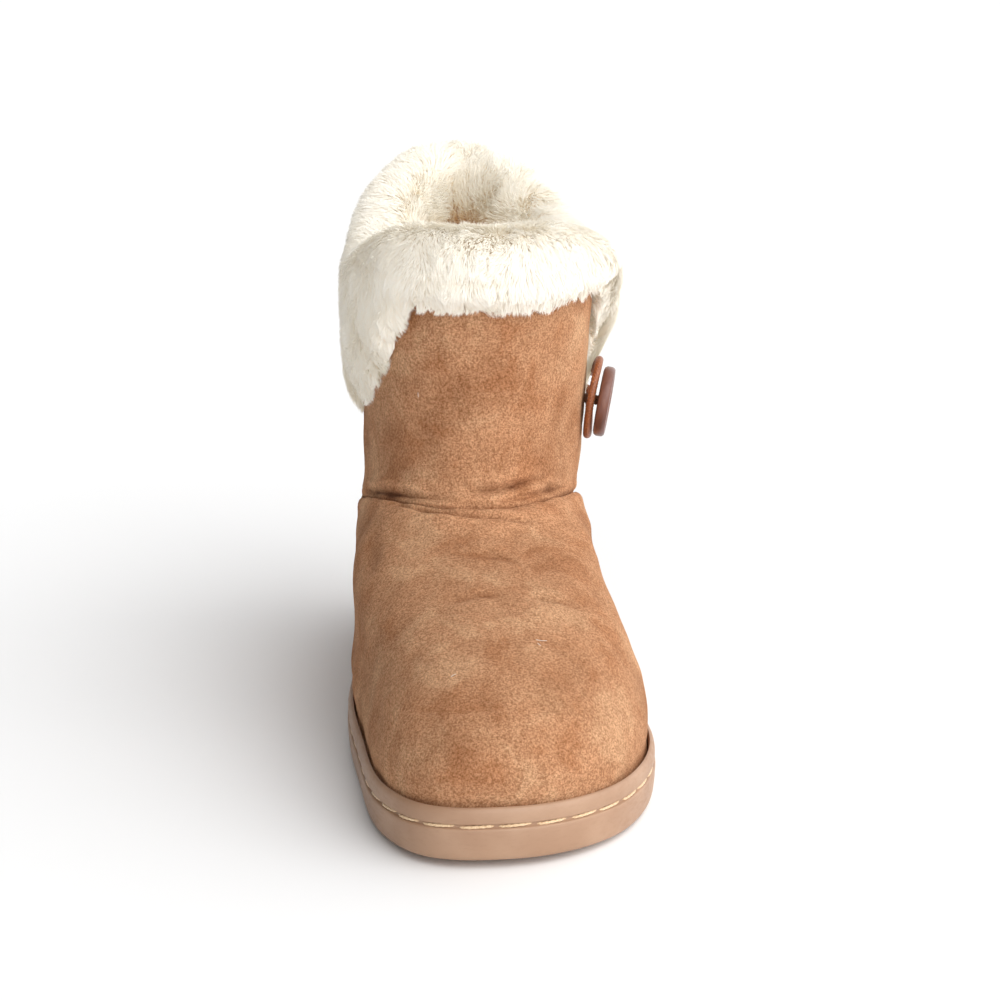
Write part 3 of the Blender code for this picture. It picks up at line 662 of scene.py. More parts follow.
def fleece_material():
    """Curly pile of the lining and the footbed."""
    stops = tones((0.30, 206, 186, 152), (0.50, 232, 218, 190), (0.70, 246, 238, 220))
    bumps = [(0, 0.9, 1.6 * MM), (0.5 * MM, 0.5, 0.3 * MM)]
    values = {"Roughness": 1.0, "Specular_IOR_Level": 0.1, "Sheen_Weight": 0.4, "Sheen_Roughness": 0.5}
    return toned_material("fleece", (2.6 * MM, 4.0, 0.65, 1.2), stops, bumps, **values)


def fur_material():
    """Ivory fur, each hair with its own tone: warm and darker at the root as painted shade among the roots,
    nearly white at the tip, with a faint painted glow.
    """
    n = Nodes("fur")
    tone_and_shade = n.attribute("tone_and_shade")
    # The lowest stops are painted shade, for the roots and for hair deep inside the leg
    stops = tones((0.0, 196, 154, 104), (0.28, 230, 211, 180), (0.5, 245, 239, 225), (1.0, 251, 248, 241))
    # Painted light: each hair glows faintly, warm where it is darkest, to lift the shade deep in the fur
    glow = n.ramp(tone_and_shade, tones((0.0, 224, 160, 92), (0.3, 236, 204, 156), (0.6, 246, 238, 224)))
    values = {"Roughness": 0.85, "Specular_IOR_Level": 0.12, "Emission_Strength": 0.08}
    return n.finish([], Base_Color=n.ramp(tone_and_shade, stops), Emission_Color=glow, **values)


def undercoat_material():
    """Dense short fur between the roots of the long hairs, with a faint painted glow in its own colour."""
    n = Nodes("undercoat")
    tufts = n.noise(2.2 * MM, 4.0, 0.65, 1.0)
    colour = n.ramp(tufts, tones((0.30, 226, 206, 174), (0.52, 240, 228, 208), (0.72, 247, 240, 228)))
    bumps = [(tufts, 0.8, 1.2 * MM), (n.noise(0.5 * MM), 0.5, 0.3 * MM)]
    # Painted light: a faint glow in the fur's own colour lifts the shade under the long hairs
    values = {"Roughness": 1.0, "Specular_IOR_Level": 0.1, "Emission_Strength": 0.12}
    return n.finish(bumps, Base_Color=colour, Emission_Color=colour, **values)


def rubber_material():
    """Moulded gum rubber, satin, with faint scuffs."""
    n = Nodes("gum_rubber")
    plain = n.ramp(n.noise(26 * MM, 3.0, 0.5), tones((0.35, 164, 129, 103), (0.65, 175, 141, 115)))
    scuffs = n.noise(3.0 * MM, 4.0, 0.7, 0.4, (1.0, 1.0, 3.0))
    rough = n.ramp(scuffs, [(0.3, 0.56, 0.56, 0.56), (0.7, 0.42, 0.42, 0.42)])
    scuffed = n.shaded(plain, [(0.35, scuffs, [(0.30, 0.86, 0.84, 0.82), (0.5, 1.0, 1.0, 1.0)])])
    bumps = [(n.noise(0.45 * MM, 2.0), 0.22, 0.10 * MM), (n.noise(9 * MM, 2.0), 0.25, 0.5 * MM)]
    return n.finish(bumps, Base_Color=scuffed, Roughness=rough, Specular_IOR_Level=0.42)


def thread_material(name, dark, light):
    """Twisted sewing thread."""
    stops = tones((0.3, *dark), (0.7, *light))
    values = {"Roughness": 0.6, "Specular_IOR_Level": 0.35, "Sheen_Weight": 0.2}
    return toned_material(name, (0.5 * MM, 3.0, 0.6), stops, [(0, 0.4, 0.12 * MM)], **values)


def button_material():
    """Dark brown moulded button with faint horn streaks."""
    stops = tones((0.30, 92, 56, 44), (0.52, 112, 70, 56), (0.74, 134, 90, 72))
    streaks = (6 * MM, 4.0, 0.6, 0.8, (1.0, 1.0, 0.35))
    values = {"Roughness": 0.34, "Specular_IOR_Level": 0.5, "Coat_Weight": 0.15, "Coat_Roughness": 0.25}
    return toned_material("button_horn", streaks, stops, [(0.6 * MM, 0.12, 0.05 * MM)], **values)


def cord_material():
    """Shiny covered elastic, orange brown."""
    stops = tones((0.3, 112, 60, 34), (0.55, 146, 84, 48), (0.75, 186, 124, 80))
    values = {"Roughness": 0.42, "Specular_IOR_Level": 0.5, "Sheen_Weight": 0.3, "Sheen_Roughness": 0.3}
    return toned_material("elastic", (0.6 * MM, 3.0, 0.6), stops, [(0, 0.3, 0.1 * MM)], **values)


def floor_material():
    grey = (0.93, 0.93, 0.93, 1.0)
    return Nodes("studio_floor").finish([], Base_Color=grey, Roughness=0.9, Specular_IOR_Level=0.1)


# Upper and shaft


def wall_object(name, levels, angles, inner_rows, suede, fleece):
    """A wall: outer face from bottom to top with its relief, a rounded rim, then the inner face down."""
    high = relief(surface(levels, angles), levels, angles)
    outer = lifted(levels, angles, high)
    rows = np.linspace(levels.shape[0] - 1, 0, inner_rows).round().astype(int)
    inner = lifted(levels[rows], angles[rows], -WALL)
    rim = (outer[-1] + inner[0]) / 2
    points, faces = closed_tube(np.concatenate([outer, rim[None], inner]))
    strip = np.arange(len(faces)) // levels.shape[1]
    made = object_from_arrays(name, points, faces, [suede, fleece], (strip > levels.shape[0]).astype(int))
    # The relief's height, kept for the suede's painted shade in the valleys and painted light on the ridges
    shade_points(made, "high", np.pad(high.ravel() / MM, (0, len(points) - high.size)))
    return made


# The gap at the ankle seam as a part of the leg's levels. The suede nearly closes it
SEAM_STEP = GAP / ((TOP_HEIGHT - ANKLE_HEIGHT) * 0.8)
OPEN_SHARE = 0.05
UPPER_ROWS, SHAFT_LINES = 124, 84
ROW_CROWDING = 1.6


def ring_angles():
    """Angles round the shoe, closer together from side seam to side seam, where the fine creases are."""
    return np.sort(np.concatenate([np.arange(-116, 116, 1.0), np.linspace(116, 244, 57)[:-1]]) % 360)


def build_upper(suede, fleece):
    """Vamp and quarters with their creases."""
    shares = 1 - (1 - np.linspace(0.0, 1.0, UPPER_ROWS)) ** ROW_CROWDING
    levels, angles = np.meshgrid((1.0 - OPEN_SHARE * SEAM_STEP) * shares, ring_angles(), indexing="ij")
    made = wall_object("suede_upper", levels, angles, 24, suede, fleece)
    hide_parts("upper")


def build_shaft(suede, fleece):
    """Leg part with its two notches."""
    slits = [notch["slit"] + SLIT_STEPS for notch in NOTCHES.values()]
    angles = np.unique(np.concatenate([ring_angles(), *slits]).round(4))
    seam = 1.0 + OPEN_SHARE * SEAM_STEP
    shares = np.linspace(0.0, 1.0, SHAFT_LINES)[:, None] ** ROW_CROWDING
    levels = seam + (top_level(angles)[None] - seam) * shares
    made = wall_object("suede_shaft", levels, np.broadcast_to(angles, levels.shape), 16, suede, fleece)
    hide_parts("shaft")


# Sole and footbed

# The sole's side, as an inset in lips and a height in walls of the sole
SIDE = [
    (1.30, 0.000), (0.62, 0.035), (0.30, 0.120), (0.10, 0.330), (0.00, 0.560), (0.10, 0.615), (0.48, 0.640),
    (0.48, 0.690), (0.12, 0.715), (0.08, 0.800), (0.22, 0.920), (0.52, 0.985), (0.80, 1.000),
]
GROOVE_INSET = 0.48 * LIP
GROOVE_HEIGHT = 0.665 * SOLE_WALL


def sole_points(inset, height, angles):
    x, y = cup_outline(inset, angles)
    return np.stack([x + SHIFT_X, y + SHIFT_Y, height + lift(y)], axis=-1)


def side_profile():
    """The sole's side as a smooth line of insets and heights."""
    places = np.arange(len(SIDE), dtype=float)
    fine = np.linspace(0, len(SIDE) - 1, 49)
    insets = through(places, [row[0] * LIP for row in SIDE], fine)
    heights = through(places, [row[1] * SOLE_WALL for row in SIDE], fine)
    return list(zip(insets, heights))


def build_sole(rubber):
    """Cup sole at full smoothness, with the tread cut in."""
    angles = np.arange(270) * 360 / 270
    profile = side_profile()
    profile += [(LIP, SOLE_WALL - 1.0 * MM), (LIP, SOLE_FLOOR + 1.0 * MM), (LIP, SOLE_FLOOR)]
    rings = np.stack([sole_points(inset, height, angles) for inset, height in profile])
    share = ((rings[0, :, 1] - SHIFT_Y) / HALF_LENGTH - 0.12) / 0.36
    rings[0, :, 2] += ARCH_RISE * np.sin(np.pi * np.clip(share, 0, 1)) ** 2
    sole = object_from_arrays("sole_rubber", *capped_shell(rings), [rubber])
    cut_tread(sole, rings[0])
    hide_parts("outsole")


def cut_tread(sole, edge):
    """Chevron grooves across the tread, as in the part."""
    forefoot = np.arange(-0.80 * HALF_LENGTH, -0.05 * HALF_LENGTH, TREAD_PITCH)
    heel = np.arange(0.66 * HALF_LENGTH, 0.84 * HALF_LENGTH, TREAD_PITCH)
    half_count = len(edge) // 2
    lateral, medial = edge[: half_count + 1], np.concatenate([edge[:1], edge[half_count:][::-1]])
    form = bmesh.new()
    for y in [*forefoot, *heel]:
        at = y + SHIFT_Y
        right = float(np.interp(at, lateral[:, 1], lateral[:, 0])) - TREAD_RIM
        left = float(np.interp(at, medial[:, 1], medial[:, 0])) + TREAD_RIM
        top = float(max(lift(y), lift(y + TREAD_BEND))) + TREAD_DEPTH
        line = [(left, at + TREAD_BEND), ((left + right) / 2, at), (right, at + TREAD_BEND)]
        half = TREAD_WIDTH / 2
        plan = [(x, v - half) for x, v in line] + [(x, v + half) for x, v in reversed(line)]
        low, high = ([form.verts.new((x, v, z)) for x, v in plan] for z in (-TREAD_DEPTH, top))
        for i in range(6):
            j = (i + 1) % 6
            form.faces.new((low[i], low[j], high[j], high[i]))
        for ring in (low, high):
            form.faces.new((ring[0], ring[1], ring[4], ring[5]))
            form.faces.new((ring[1], ring[2], ring[3], ring[4]))
    bmesh.ops.recalc_face_normals(form, faces=form.faces)
    cut_away(sole, form, "tread_cutter")
    sole.data.set_sharp_from_angle(angle=math.radians(38))


STITCH_PITCH = 12.2 * MM
STITCH_LENGTH = 10.6 * MM
STITCH_RADIUS = 0.5 * MM
PLY_TURN = 4.2 * MM


def groove_line(samples=1440):
    """The stitch groove's closed line round the sole, its outward directions and its length so far."""
    angles = np.arange(samples + 1) % samples * 360 / samples
    line = sole_points(GROOVE_INSET, GROOVE_HEIGHT, angles)
    return line, unit(sole_points(0.0, GROOVE_HEIGHT, angles) - line), run_along(line)


def build_stitches(thread):
    """Long stitches in the sole's groove: two plies, dipping into the rubber at both ends."""
    line, outward, run = groove_line()
    count = int(round(run[-1] / STITCH_PITCH))
    pitch = run[-1] / count
    share = np.linspace(-1, 1, 21)
    rise = 0.62 * MM * (1 - share**4) - 0.32 * MM
    radii = STITCH_RADIUS * (1 - 0.45 * share**6)
    rng = np.random.default_rng(11)
    parts = []
    for i in range(count):
        middle = (i + 0.5) * pitch + rng.normal(0, 0.2 * MM)
        half = STITCH_LENGTH / 2 * rng.uniform(0.95, 1.04)
        at = (middle + half * share) % run[-1]
        place = read_line(line, run, at) + read_line(outward, run, at) * rise[:, None]
        place[:, 2] += share * 0.25 * MM + rng.normal(0, 0.06 * MM)
        parts.append(tube(place, radii, 10, 2 * np.pi / PLY_TURN, 2, 0.16))
    made = object_from_arrays("sole_stitches", *joined(parts), [thread])


def build_footbed(fleece):
    """Fleece-covered footbed with a soft crown."""
    angles = np.arange(160) * 360 / 160
    reach = LIP + GAP + WALL + GAP
    foot = SOLE_FLOOR + GAP
    crown = INSOLE_THICKNESS / MM
    shape = [(0.0, 0.0), (0.0, 4.2), (0.6, 5.4)] + [(1.8 + 2.2 * i, crown) for i in range(15)]
    rings = []
    for inset, height in shape:
        ring = sole_points(reach + inset * MM, foot + height * MM, angles)
        if height == crown:
            top = foot + INSOLE_THICKNESS + lift(ring[:, 1] - SHIFT_Y)
            ring[:, 2] = np.minimum(ring[:, 2], top) + 0.5 * MM * (wander(ring, 7 * MM, 21) - 0.6)
        rings.append(ring)
    made = object_from_arrays("fleece_footbed", *capped_shell(np.stack(rings)), [fleece])
    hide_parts("insole")


# Fur cuff

FUR_ANGLES = 288
FUR_STEPS = 84
CORNER_ROW = 2
RIDGE_ROW = 16


def roll(angle):
    angles = [row[0] for row in ROLL]
    return tuple(through(angles, [row[i] for row in ROLL], angle % 360) * MM for i in (1, 2))


def cuff_lines(angles):
    """The cuff's outline at each angle: outer pile, ridge and lining, as rows of points."""
    reach, ridge = roll(angles)
    edge_level = top_level(angles)
    seam = 1.0 + 0.5 * SEAM_STEP
    foot_level = seam + (edge_level - seam) / (SHAFT_ROWS - 1)
    hem = np.minimum(HEM_HEIGHT, surface(edge_level, angles)[..., 2] - 0.7 * MM)
    start = np.maximum(hem + 0.8 * MM, np.where(angles < 180, OVERHANG, 0.0))
    shoulder = np.minimum(TOP_HEIGHT, ridge - 12 * MM)
    rows = [lifted(level_at(angles, hem), angles, SLOT)]
    rows.append(lifted(level_at(angles, start - 0.5 * MM), angles, SLOT + 0.1 * MM))
    for t in np.linspace(0, 1, 8):
        away = SLOT + reach * np.sin(np.pi / 2 * min(1.0, 0.25 + 2.0 * t))
        rows.append(lifted(level_at(angles, start + (shoulder - start) * t), angles, away))
    shoulder_level = level_at(angles, shoulder)
    rim = surface(shoulder_level, angles)
    flat_out = unit(normal(shoulder_level, angles) * np.array([1.0, 1.0, 0.0]))
    outer_reach = ((rows[-1] - rim) * flat_out).sum(axis=-1)
    middle = (outer_reach - WALL - PILE_IN) / 2
    half_wide = outer_reach - middle
    for turn in np.linspace(0, np.pi, 14)[1:-1]:
        point = rim + flat_out * (middle + half_wide * np.cos(turn))[:, None]
        point[:, 2] = shoulder + (ridge - shoulder) * np.sin(turn)
        rows.append(point)
    for t in np.linspace(0, 1, 9):
        away = WALL + PILE_IN + (LINING_PILE - PILE_IN) * smooth(t * 1.2)
        rows.append(lifted(shoulder_level + (foot_level - shoulder_level) * t, angles, -away))
    return np.stack(rows)


def evened(directions, times):
    """Directions round the shoe, each turned towards its neighbours."""
    for _ in range(times):
        directions = unit(directions + np.roll(directions, 1, axis=0) + np.roll(directions, -1, axis=0))
    return directions


def cuff_grid():
    """The cuff's form as an even grid: angle, then steps along the outline. With it, the outward normals,
    the step of the overhang's corner and of the ridge at each angle, and the arc length of the outline."""
    angles = np.arange(FUR_ANGLES) * 360 / FUR_ANGLES
    grid = np.empty((FUR_ANGLES, FUR_STEPS, 3))
    length, corner, top = np.empty((3, FUR_ANGLES))
    for i, line in enumerate(np.swapaxes(cuff_lines(angles), 0, 1)):
        run = run_along(line)
        grid[i] = read_line(line, run, np.linspace(0, run[-1], FUR_STEPS))
        length[i] = run[-1]
        corner[i] = run[CORNER_ROW] / run[-1] * (FUR_STEPS - 1)
        top[i] = run[RIDGE_ROW] / run[-1] * (FUR_STEPS - 1)
    for _ in range(3):
        grid[:, 1:-1] = (grid[:, :-2] + 2 * grid[:, 1:-1] + grid[:, 2:]) / 4
    around = np.roll(grid, -1, axis=0) - np.roll(grid, 1, axis=0)
    out = unit(np.cross(around, np.gradient(grid, axis=1)))
    return grid, evened(out, 4), corner, top, length


def sample(grid, a, u):
    """Values of a grid at fractional places: a wraps round the shoe, u stops at both ends."""
    a = a % FUR_ANGLES
    u = np.clip(u, 0, FUR_STEPS - 1.001)
    a0, u0 = np.floor(a).astype(int), np.floor(u).astype(int)
    ta, tu = (a - a0)[..., None], (u - u0)[..., None]
    a0 %= FUR_ANGLES
    a1 = (a0 + 1) % FUR_ANGLES
    low = grid[a0, u0] * (1 - ta) + grid[a1, u0] * ta
    high = grid[a0, u0 + 1] * (1 - ta) + grid[a1, u0 + 1] * ta
    return low * (1 - tu) + high * tu


def build_undercoat(grid, out, corner, material):
    """The skin of dense fur under the long hairs, close under them where the hem slopes."""
    slope = np.clip(2.5 * (1.0 + hem_fall(grid, out, corner)[:, 2]), 0, 1)
    at_hem = smooth((corner[:, None] + 4 - np.arange(FUR_STEPS)[None]) / 4) * slope[:, None]
    depth = (2.9 - 1.9 * at_hem) * MM
    tufts = 0.9 * MM * wander(grid, 9 * MM, 31) + 0.5 * MM * wander(grid, 4 * MM, 32)
    skin = grid - out * (depth - tufts * (1 - 0.7 * at_hem))[..., None]
    back = grid - out * (depth + 1.2 * MM)[..., None]
    rings = np.concatenate([np.swapaxes(skin, 0, 1), np.swapaxes(back, 0, 1)[::-1][::6]])
    points, faces = closed_tube(rings)
    made = object_from_arrays("fur_undercoat", points, faces, [material])
    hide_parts("fur_cuff")
    return made


HAIRS = 236000
HAIR_PIECES = 4
HAIR_ROOT_WIDTH = 0.30 * MM
PARTING_ANGLE = 176.0
CREASE_HEIGHT = 158.5 * MM
# Below about this height inside the leg, the hairs take painted shade
DEEP_HEIGHT = 165 * MM
# Places on the fur's ramp along each hair, root to tip: low at the root for painted shade among the roots
HAIR_SHADE_ROOT_TO_TIP = np.array([0.30, 0.30, 0.66, 0.66, 0.92])
BLADE = np.array([(0, 1, 3), (0, 3, 2), (2, 3, 4)])
BLADE_POINTS = 5


def hair_roots(grid, top, rng):
    """Places of the hairs' roots: even over the fur's area, thinner down inside the leg."""
    around = np.linalg.norm(np.roll(grid, -1, axis=0) - grid, axis=-1)
    weight = around * np.linalg.norm(np.gradient(grid, axis=1), axis=-1)
    past_ridge = (np.arange(FUR_STEPS)[None] - top[:, None]) / (FUR_STEPS - 1 - top[:, None])
    weight *= 1.0 - 0.85 * smooth(np.clip(past_ridge, 0, 1) * 1.6)
    cells = rng.choice(weight.size, HAIRS, p=(weight / weight.sum()).ravel())
    a = cells // FUR_STEPS + rng.uniform(0, 1, HAIRS)
    return a, cells % FUR_STEPS + rng.uniform(0, 1, HAIRS)


def clump_pull(a, u, a_cell, u_cell, warp, seed):
    """For each place, the way to the centre of its clump, and a number that tells clumps apart. The warp,
    two waves about -1 to 1, keeps the clumps' edges from lining up."""
    cols = int(round(FUR_ANGLES / a_cell))
    a_cell = FUR_ANGLES / cols
    a, u = a + 0.8 * a_cell * warp[0], u + 0.8 * u_cell * warp[1]
    whole = np.floor(a / a_cell)
    col = whole.astype(int) % cols
    row = np.floor(u / u_cell + 0.5 * (col % 2)).astype(int) + 1
    rng = np.random.default_rng(seed)
    jitter = rng.uniform(0.2, 0.8, size=(cols, 64, 2))
    chance = rng.uniform(0, 1, size=(cols, 64))
    row = np.clip(row, 0, 63)
    centre_a = (whole + jitter[col, row, 0]) * a_cell
    centre_u = (row - 1 - 0.5 * (col % 2) + jitter[col, row, 1]) * u_cell
    return centre_a - a, centre_u - u, chance[col, row]


def hem_fall(grid, out, corner):
    """At each angle, the way that hair falls off the hem: down, or across the hem where it slopes."""
    at = (np.arange(FUR_ANGLES), corner.round().astype(int))
    along = np.roll(grid[at], -3, axis=0) - np.roll(grid[at], 3, axis=0)
    return evened(unit(np.cross(along, out[at[0], at[1] + 6])), 3)


def build_fur(grid, out, corner, top, length, material):
    """Long hairs as thin tapering blades, gathered into tufts, in a few joined pieces."""
    rng = np.random.default_rng(5)
    fall = hem_fall(grid, out, corner)
    a, u = hair_roots(grid, top, rng)
    here = a.astype(int) % FUR_ANGLES
    step, corner, top, fall = (length / (FUR_STEPS - 1))[here], corner[here], top[here], fall[here]
    place, up = sample(grid, a, u), sample(out, a, u)
    outer = smooth((top + 3 - u) / 10)
    inside = smooth((u - top - 3) / 14)
    # Way of the nap: down the outside, with swirls, and away from a parting inside the heel
    around = np.maximum(0.4 * MM, np.linalg.norm(sample(grid, a + 1, u) - place, axis=-1))
    comb = (3.2 + 2.4 * outer) * MM + 2.0 * MM * wander(place, 22 * MM, 41)
    swirl = 2.8 * MM * wander(place, 18 * MM, 42) + 1.3 * MM * wander(place, 7 * MM, 43)
    degrees = a * 360 / FUR_ANGLES
    from_parting = (degrees - PARTING_ANGLE) * around * FUR_ANGLES / 360
    parting = bell(from_parting, 5 * MM) * smooth((u - top + 2) / 6) * smooth((top + 26 - u) / 8)
    swirl = swirl - 0.8 * MM * np.tanh(from_parting / (3 * MM)) * parting
    tip_a = a + (swirl + rng.normal(0, 0.5 * MM, HAIRS)) / around
    tip_u = u - comb / step + rng.normal(0, 0.8, HAIRS)
    # Tufts, large and small, tightest at the hem
    warp = (wander(place, 15 * MM, 44), wander(place, 13 * MM, 45))
    big_a, big_u, big_chance = clump_pull(a, u, 7.0, 7.0, warp, 51)
    warp = (wander(place, 7 * MM, 46), wander(place, 6 * MM, 47))
    small_a, small_u, small_chance = clump_pull(a, u, 2.4, 3.0, warp, 52)
    at_hem = smooth((corner + 9 - u) / 7) * outer
    small_pull = 0.08 + 0.14 * small_chance + 0.42 * at_hem
    big_pull = 0.08 + 0.34 * at_hem
    tip_a = tip_a + small_a * small_pull + big_a * big_pull
    tip_u = tip_u + small_u * small_pull + big_u * big_pull
    # Tips on the form, lofted off it, and hanging where they pass the hem
    beyond = np.maximum(0.0, corner + 0.6 - tip_u) * step * outer
    stop = corner * outer
    tip = sample(grid, tip_a, np.maximum(tip_u, stop))
    tip_up = sample(out, tip_a, np.maximum(tip_u, stop + 2 * outer))
    loft = rng.normal(0.0, 0.4, HAIRS) + 0.7 * (big_chance - 0.5) + 0.5 * (small_chance - 0.5)
    crease = bell(tip[:, 2] - CREASE_HEIGHT, 1.3 * MM) * (np.cos(np.radians(degrees)) > 0.35) * outer
    loft = np.minimum(loft - 0.7 * crease, 1.4) + inside * (2.6 + 4.2 * small_chance) - 1.2 * parting
    hang = np.minimum(beyond, 6 * MM) * (0.30 + 0.45 * big_chance + 0.15 * small_chance)
    hang = hang * (1.0 + 0.8 * (1.0 + fall[:, 2])) + 1.6 * MM * at_hem * (big_chance - 0.4)
    tip = tip + tip_up * (loft * MM - 0.30 * hang)[:, None] + fall * hang[:, None]
    # Bent blades from root to tip
    root = place - up * 3.4 * MM
    middle = 0.5 * (root + tip) + up * (1.2 * MM + 0.16 * comb)[:, None]
    middle = middle + rng.normal(0, 0.28 * MM, (HAIRS, 3))
    bend = 0.25 * root + 0.5 * middle + 0.25 * tip
    heading = unit(tip - root)
    across = unit(np.cross(heading, up + rng.normal(0, 0.22, (HAIRS, 3))))
    side = across * (HAIR_ROOT_WIDTH / 2 * rng.uniform(0.7, 1.3, HAIRS))[:, None]
    points = np.stack([root - side, root + side, bend - side, bend + side, tip], axis=1)
    # Each hair's tone differs at random; painted shade makes hairs darker deep inside the leg, in the parting
    # and in the crease
    own = rng.normal(0, 0.05, HAIRS) + 0.08 * (small_chance - 0.5) + 0.08 * (big_chance - 0.5)
    deep = smooth((DEEP_HEIGHT - place[:, 2]) / (12 * MM)) * inside
    own = own - 0.46 * deep - 0.16 * parting - 0.12 * crease
    tone_and_shade = np.clip(own[:, None] + HAIR_SHADE_ROOT_TO_TIP, 0, 1)
    upright = np.abs((heading * up).sum(axis=-1, keepdims=True))
    facing = unit(up * (1.1 - upright) + np.cross(across, heading) * (0.15 + 1.2 * upright**2))
    for piece in range(HAIR_PIECES):
        chosen = slice(piece * HAIRS // HAIR_PIECES, (piece + 1) * HAIRS // HAIR_PIECES)
        some = points[chosen]
        faces = (np.arange(len(some))[:, None, None] * BLADE_POINTS + BLADE[None]).reshape(-1, 3)
        made = object_from_arrays(f"fur_hairs_{piece + 1}", some.reshape(-1, 3), faces, [material])
        shade_points(made, "tone_and_shade", tone_and_shade[chosen])
        made.data.normals_split_custom_set_from_vertices(np.repeat(facing[chosen], BLADE_POINTS, axis=0))


# Button and loop


def button_frame():
    """Place of the button: origin on the leg, Z outwards, Y up the leg."""
    level = level_at(BUTTON_ANGLE, BUTTON_HEIGHT)
    seat = Vector(surface(level, BUTTON_ANGLE))
    out = Vector(normal(level, BUTTON_ANGLE))
    side = Vector((0, 0, 1)).cross(out).normalized()
    out = Matrix.Rotation(math.radians(BUTTON_TILT), 3, side) @ out
    up = out.cross(side).normalized()
    place = Matrix.Identity(4)
    for index, axis in enumerate((side, up, out)):
        for row in range(3):
            place[row][index] = axis[row]
    place.translation = seat
    return place


# Turned profile of the button: radius as a share of its own, height as a share of its thickness
BUTTON_PROFILE = [
    (0.00, 0.00), (0.70, 0.00), (0.88, 0.02), (0.96, 0.10), (1.00, 0.30), (1.00, 0.66), (0.985, 0.84),
    (0.94, 0.97), (0.87, 1.00), (0.80, 0.96), (0.74, 0.84), (0.66, 0.77), (0.30, 0.74), (0.00, 0.74),
]
FACE_SHARE = BUTTON_PROFILE[-1][1]
HOLE_PLACE = 0.2
HOLE_RADIUS = 1.0 * MM
HOLE_DEPTH = 8 * MM


def build_button(horn):
    """Four-hole button with a rounded rim and a dished face."""
    radius = BUTTON_DIAMETER / 2
    form = bmesh.new()
    line = []
    for share, height in BUTTON_PROFILE:
        line.append(form.verts.new((share * radius, 0, BUTTON_STAND_OFF + height * BUTTON_THICKNESS)))
    edges = [form.edges.new(pair) for pair in zip(line, line[1:])]
    turned = {"axis": (0, 0, 1), "cent": (0, 0, 0), "steps": 96, "angle": 2 * math.pi}
    bmesh.ops.spin(form, geom=line + edges, **turned)
    bmesh.ops.remove_doubles(form, verts=form.verts, dist=0.01 * MM)
    bmesh.ops.recalc_face_normals(form, faces=form.faces)
    button = placed("button_disc", mesh_from(form, "button_disc"))
    button.data.materials.append(horn)
    holes = bmesh.new()
    drill = {"cap_ends": True, "segments": 24, "radius1": HOLE_RADIUS, "radius2": HOLE_RADIUS}
    for i in range(4):
        turn = math.radians(45 + 90 * i)
        x, y = HOLE_PLACE * radius * math.cos(turn), HOLE_PLACE * radius * math.sin(turn)
        place = Matrix.Translation((x, y, BUTTON_STAND_OFF + BUTTON_THICKNESS / 2))
        bmesh.ops.create_cone(holes, depth=HOLE_DEPTH, matrix=place, **drill)
    cut_away(button, holes, "hole_cutter")
    button.data.transform(button_frame())
    button.data.shade_smooth()
    button.data.set_sharp_from_angle(angle=math.radians(35))
    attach(button, "root")
    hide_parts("button")


def build_button_thread(thread):
    """Thread through the four holes and round the shank down to the leg."""
    place = np.array(button_frame())
    corner = HOLE_PLACE * BUTTON_DIAMETER / 2 * math.sqrt(0.5)
    share = np.linspace(0, 1, 15)
    face = BUTTON_STAND_OFF + FACE_SHARE * BUTTON_THICKNESS
    arch = face - 2.6 * MM + 3.1 * MM * np.sin(np.pi * share) ** 0.4
    strands = []
    for side in (1, -1):
        for ply in (-0.32 * MM, 0.32 * MM):
            strands.append((side * corner * (1 - 2 * share), side * corner + ply, arch, 0.36 * MM, 8))
    down = np.linspace(0, 1, 150)
    turn = 2 * np.pi * SHANK_TURNS * down
    coil = (COIL_RADIUS * np.cos(turn), COIL_RADIUS * np.sin(turn), BUTTON_STAND_OFF * down + 0.2 * MM)
    strands.append((*coil, 0.45 * MM, 8))
    strands.append((0.0, 0.0, BUTTON_STAND_OFF * np.linspace(-0.05, 1.05, 8), 1.3 * MM, 12))
    parts = []
    for x, y, z, radius, sides in strands:
        path = np.stack(np.broadcast_arrays(x, y, z), axis=1) @ place[:3, :3].T + place[:3, 3]
        parts.append(tube(path, radius, sides))
    made = object_from_arrays("button_thread", *joined(parts), [thread])


def loop_route():
    """Points of the loop's centre line on the leg: along it towards the heel, and up, from the button."""
    half = LOOP_WIDTH / 2
    front = -(SHANK_DIAMETER + LOOP_CORD) / 2 - 5.0 * MM
    lower = [
        (LOOP_REACH, 3.0 * MM),
        (0.72 * LOOP_REACH, 0.45 * half),
        (0.45 * LOOP_REACH, 0.80 * half),
        (0.15 * LOOP_REACH, half),
        (0.45 * front, 0.90 * half),
        (0.85 * front, 0.50 * half),
    ]
    return [*lower, (front, 0.0), *[(along, -up) for along, up in reversed(lower)]]


def angle_at(y, z):
    """Angle on the lateral side where the leg's surface at height z reaches y."""
    return bisected(20.0, 160.0, lambda angle: surface(level_at(angle, z), angle)[1] < y, 20)


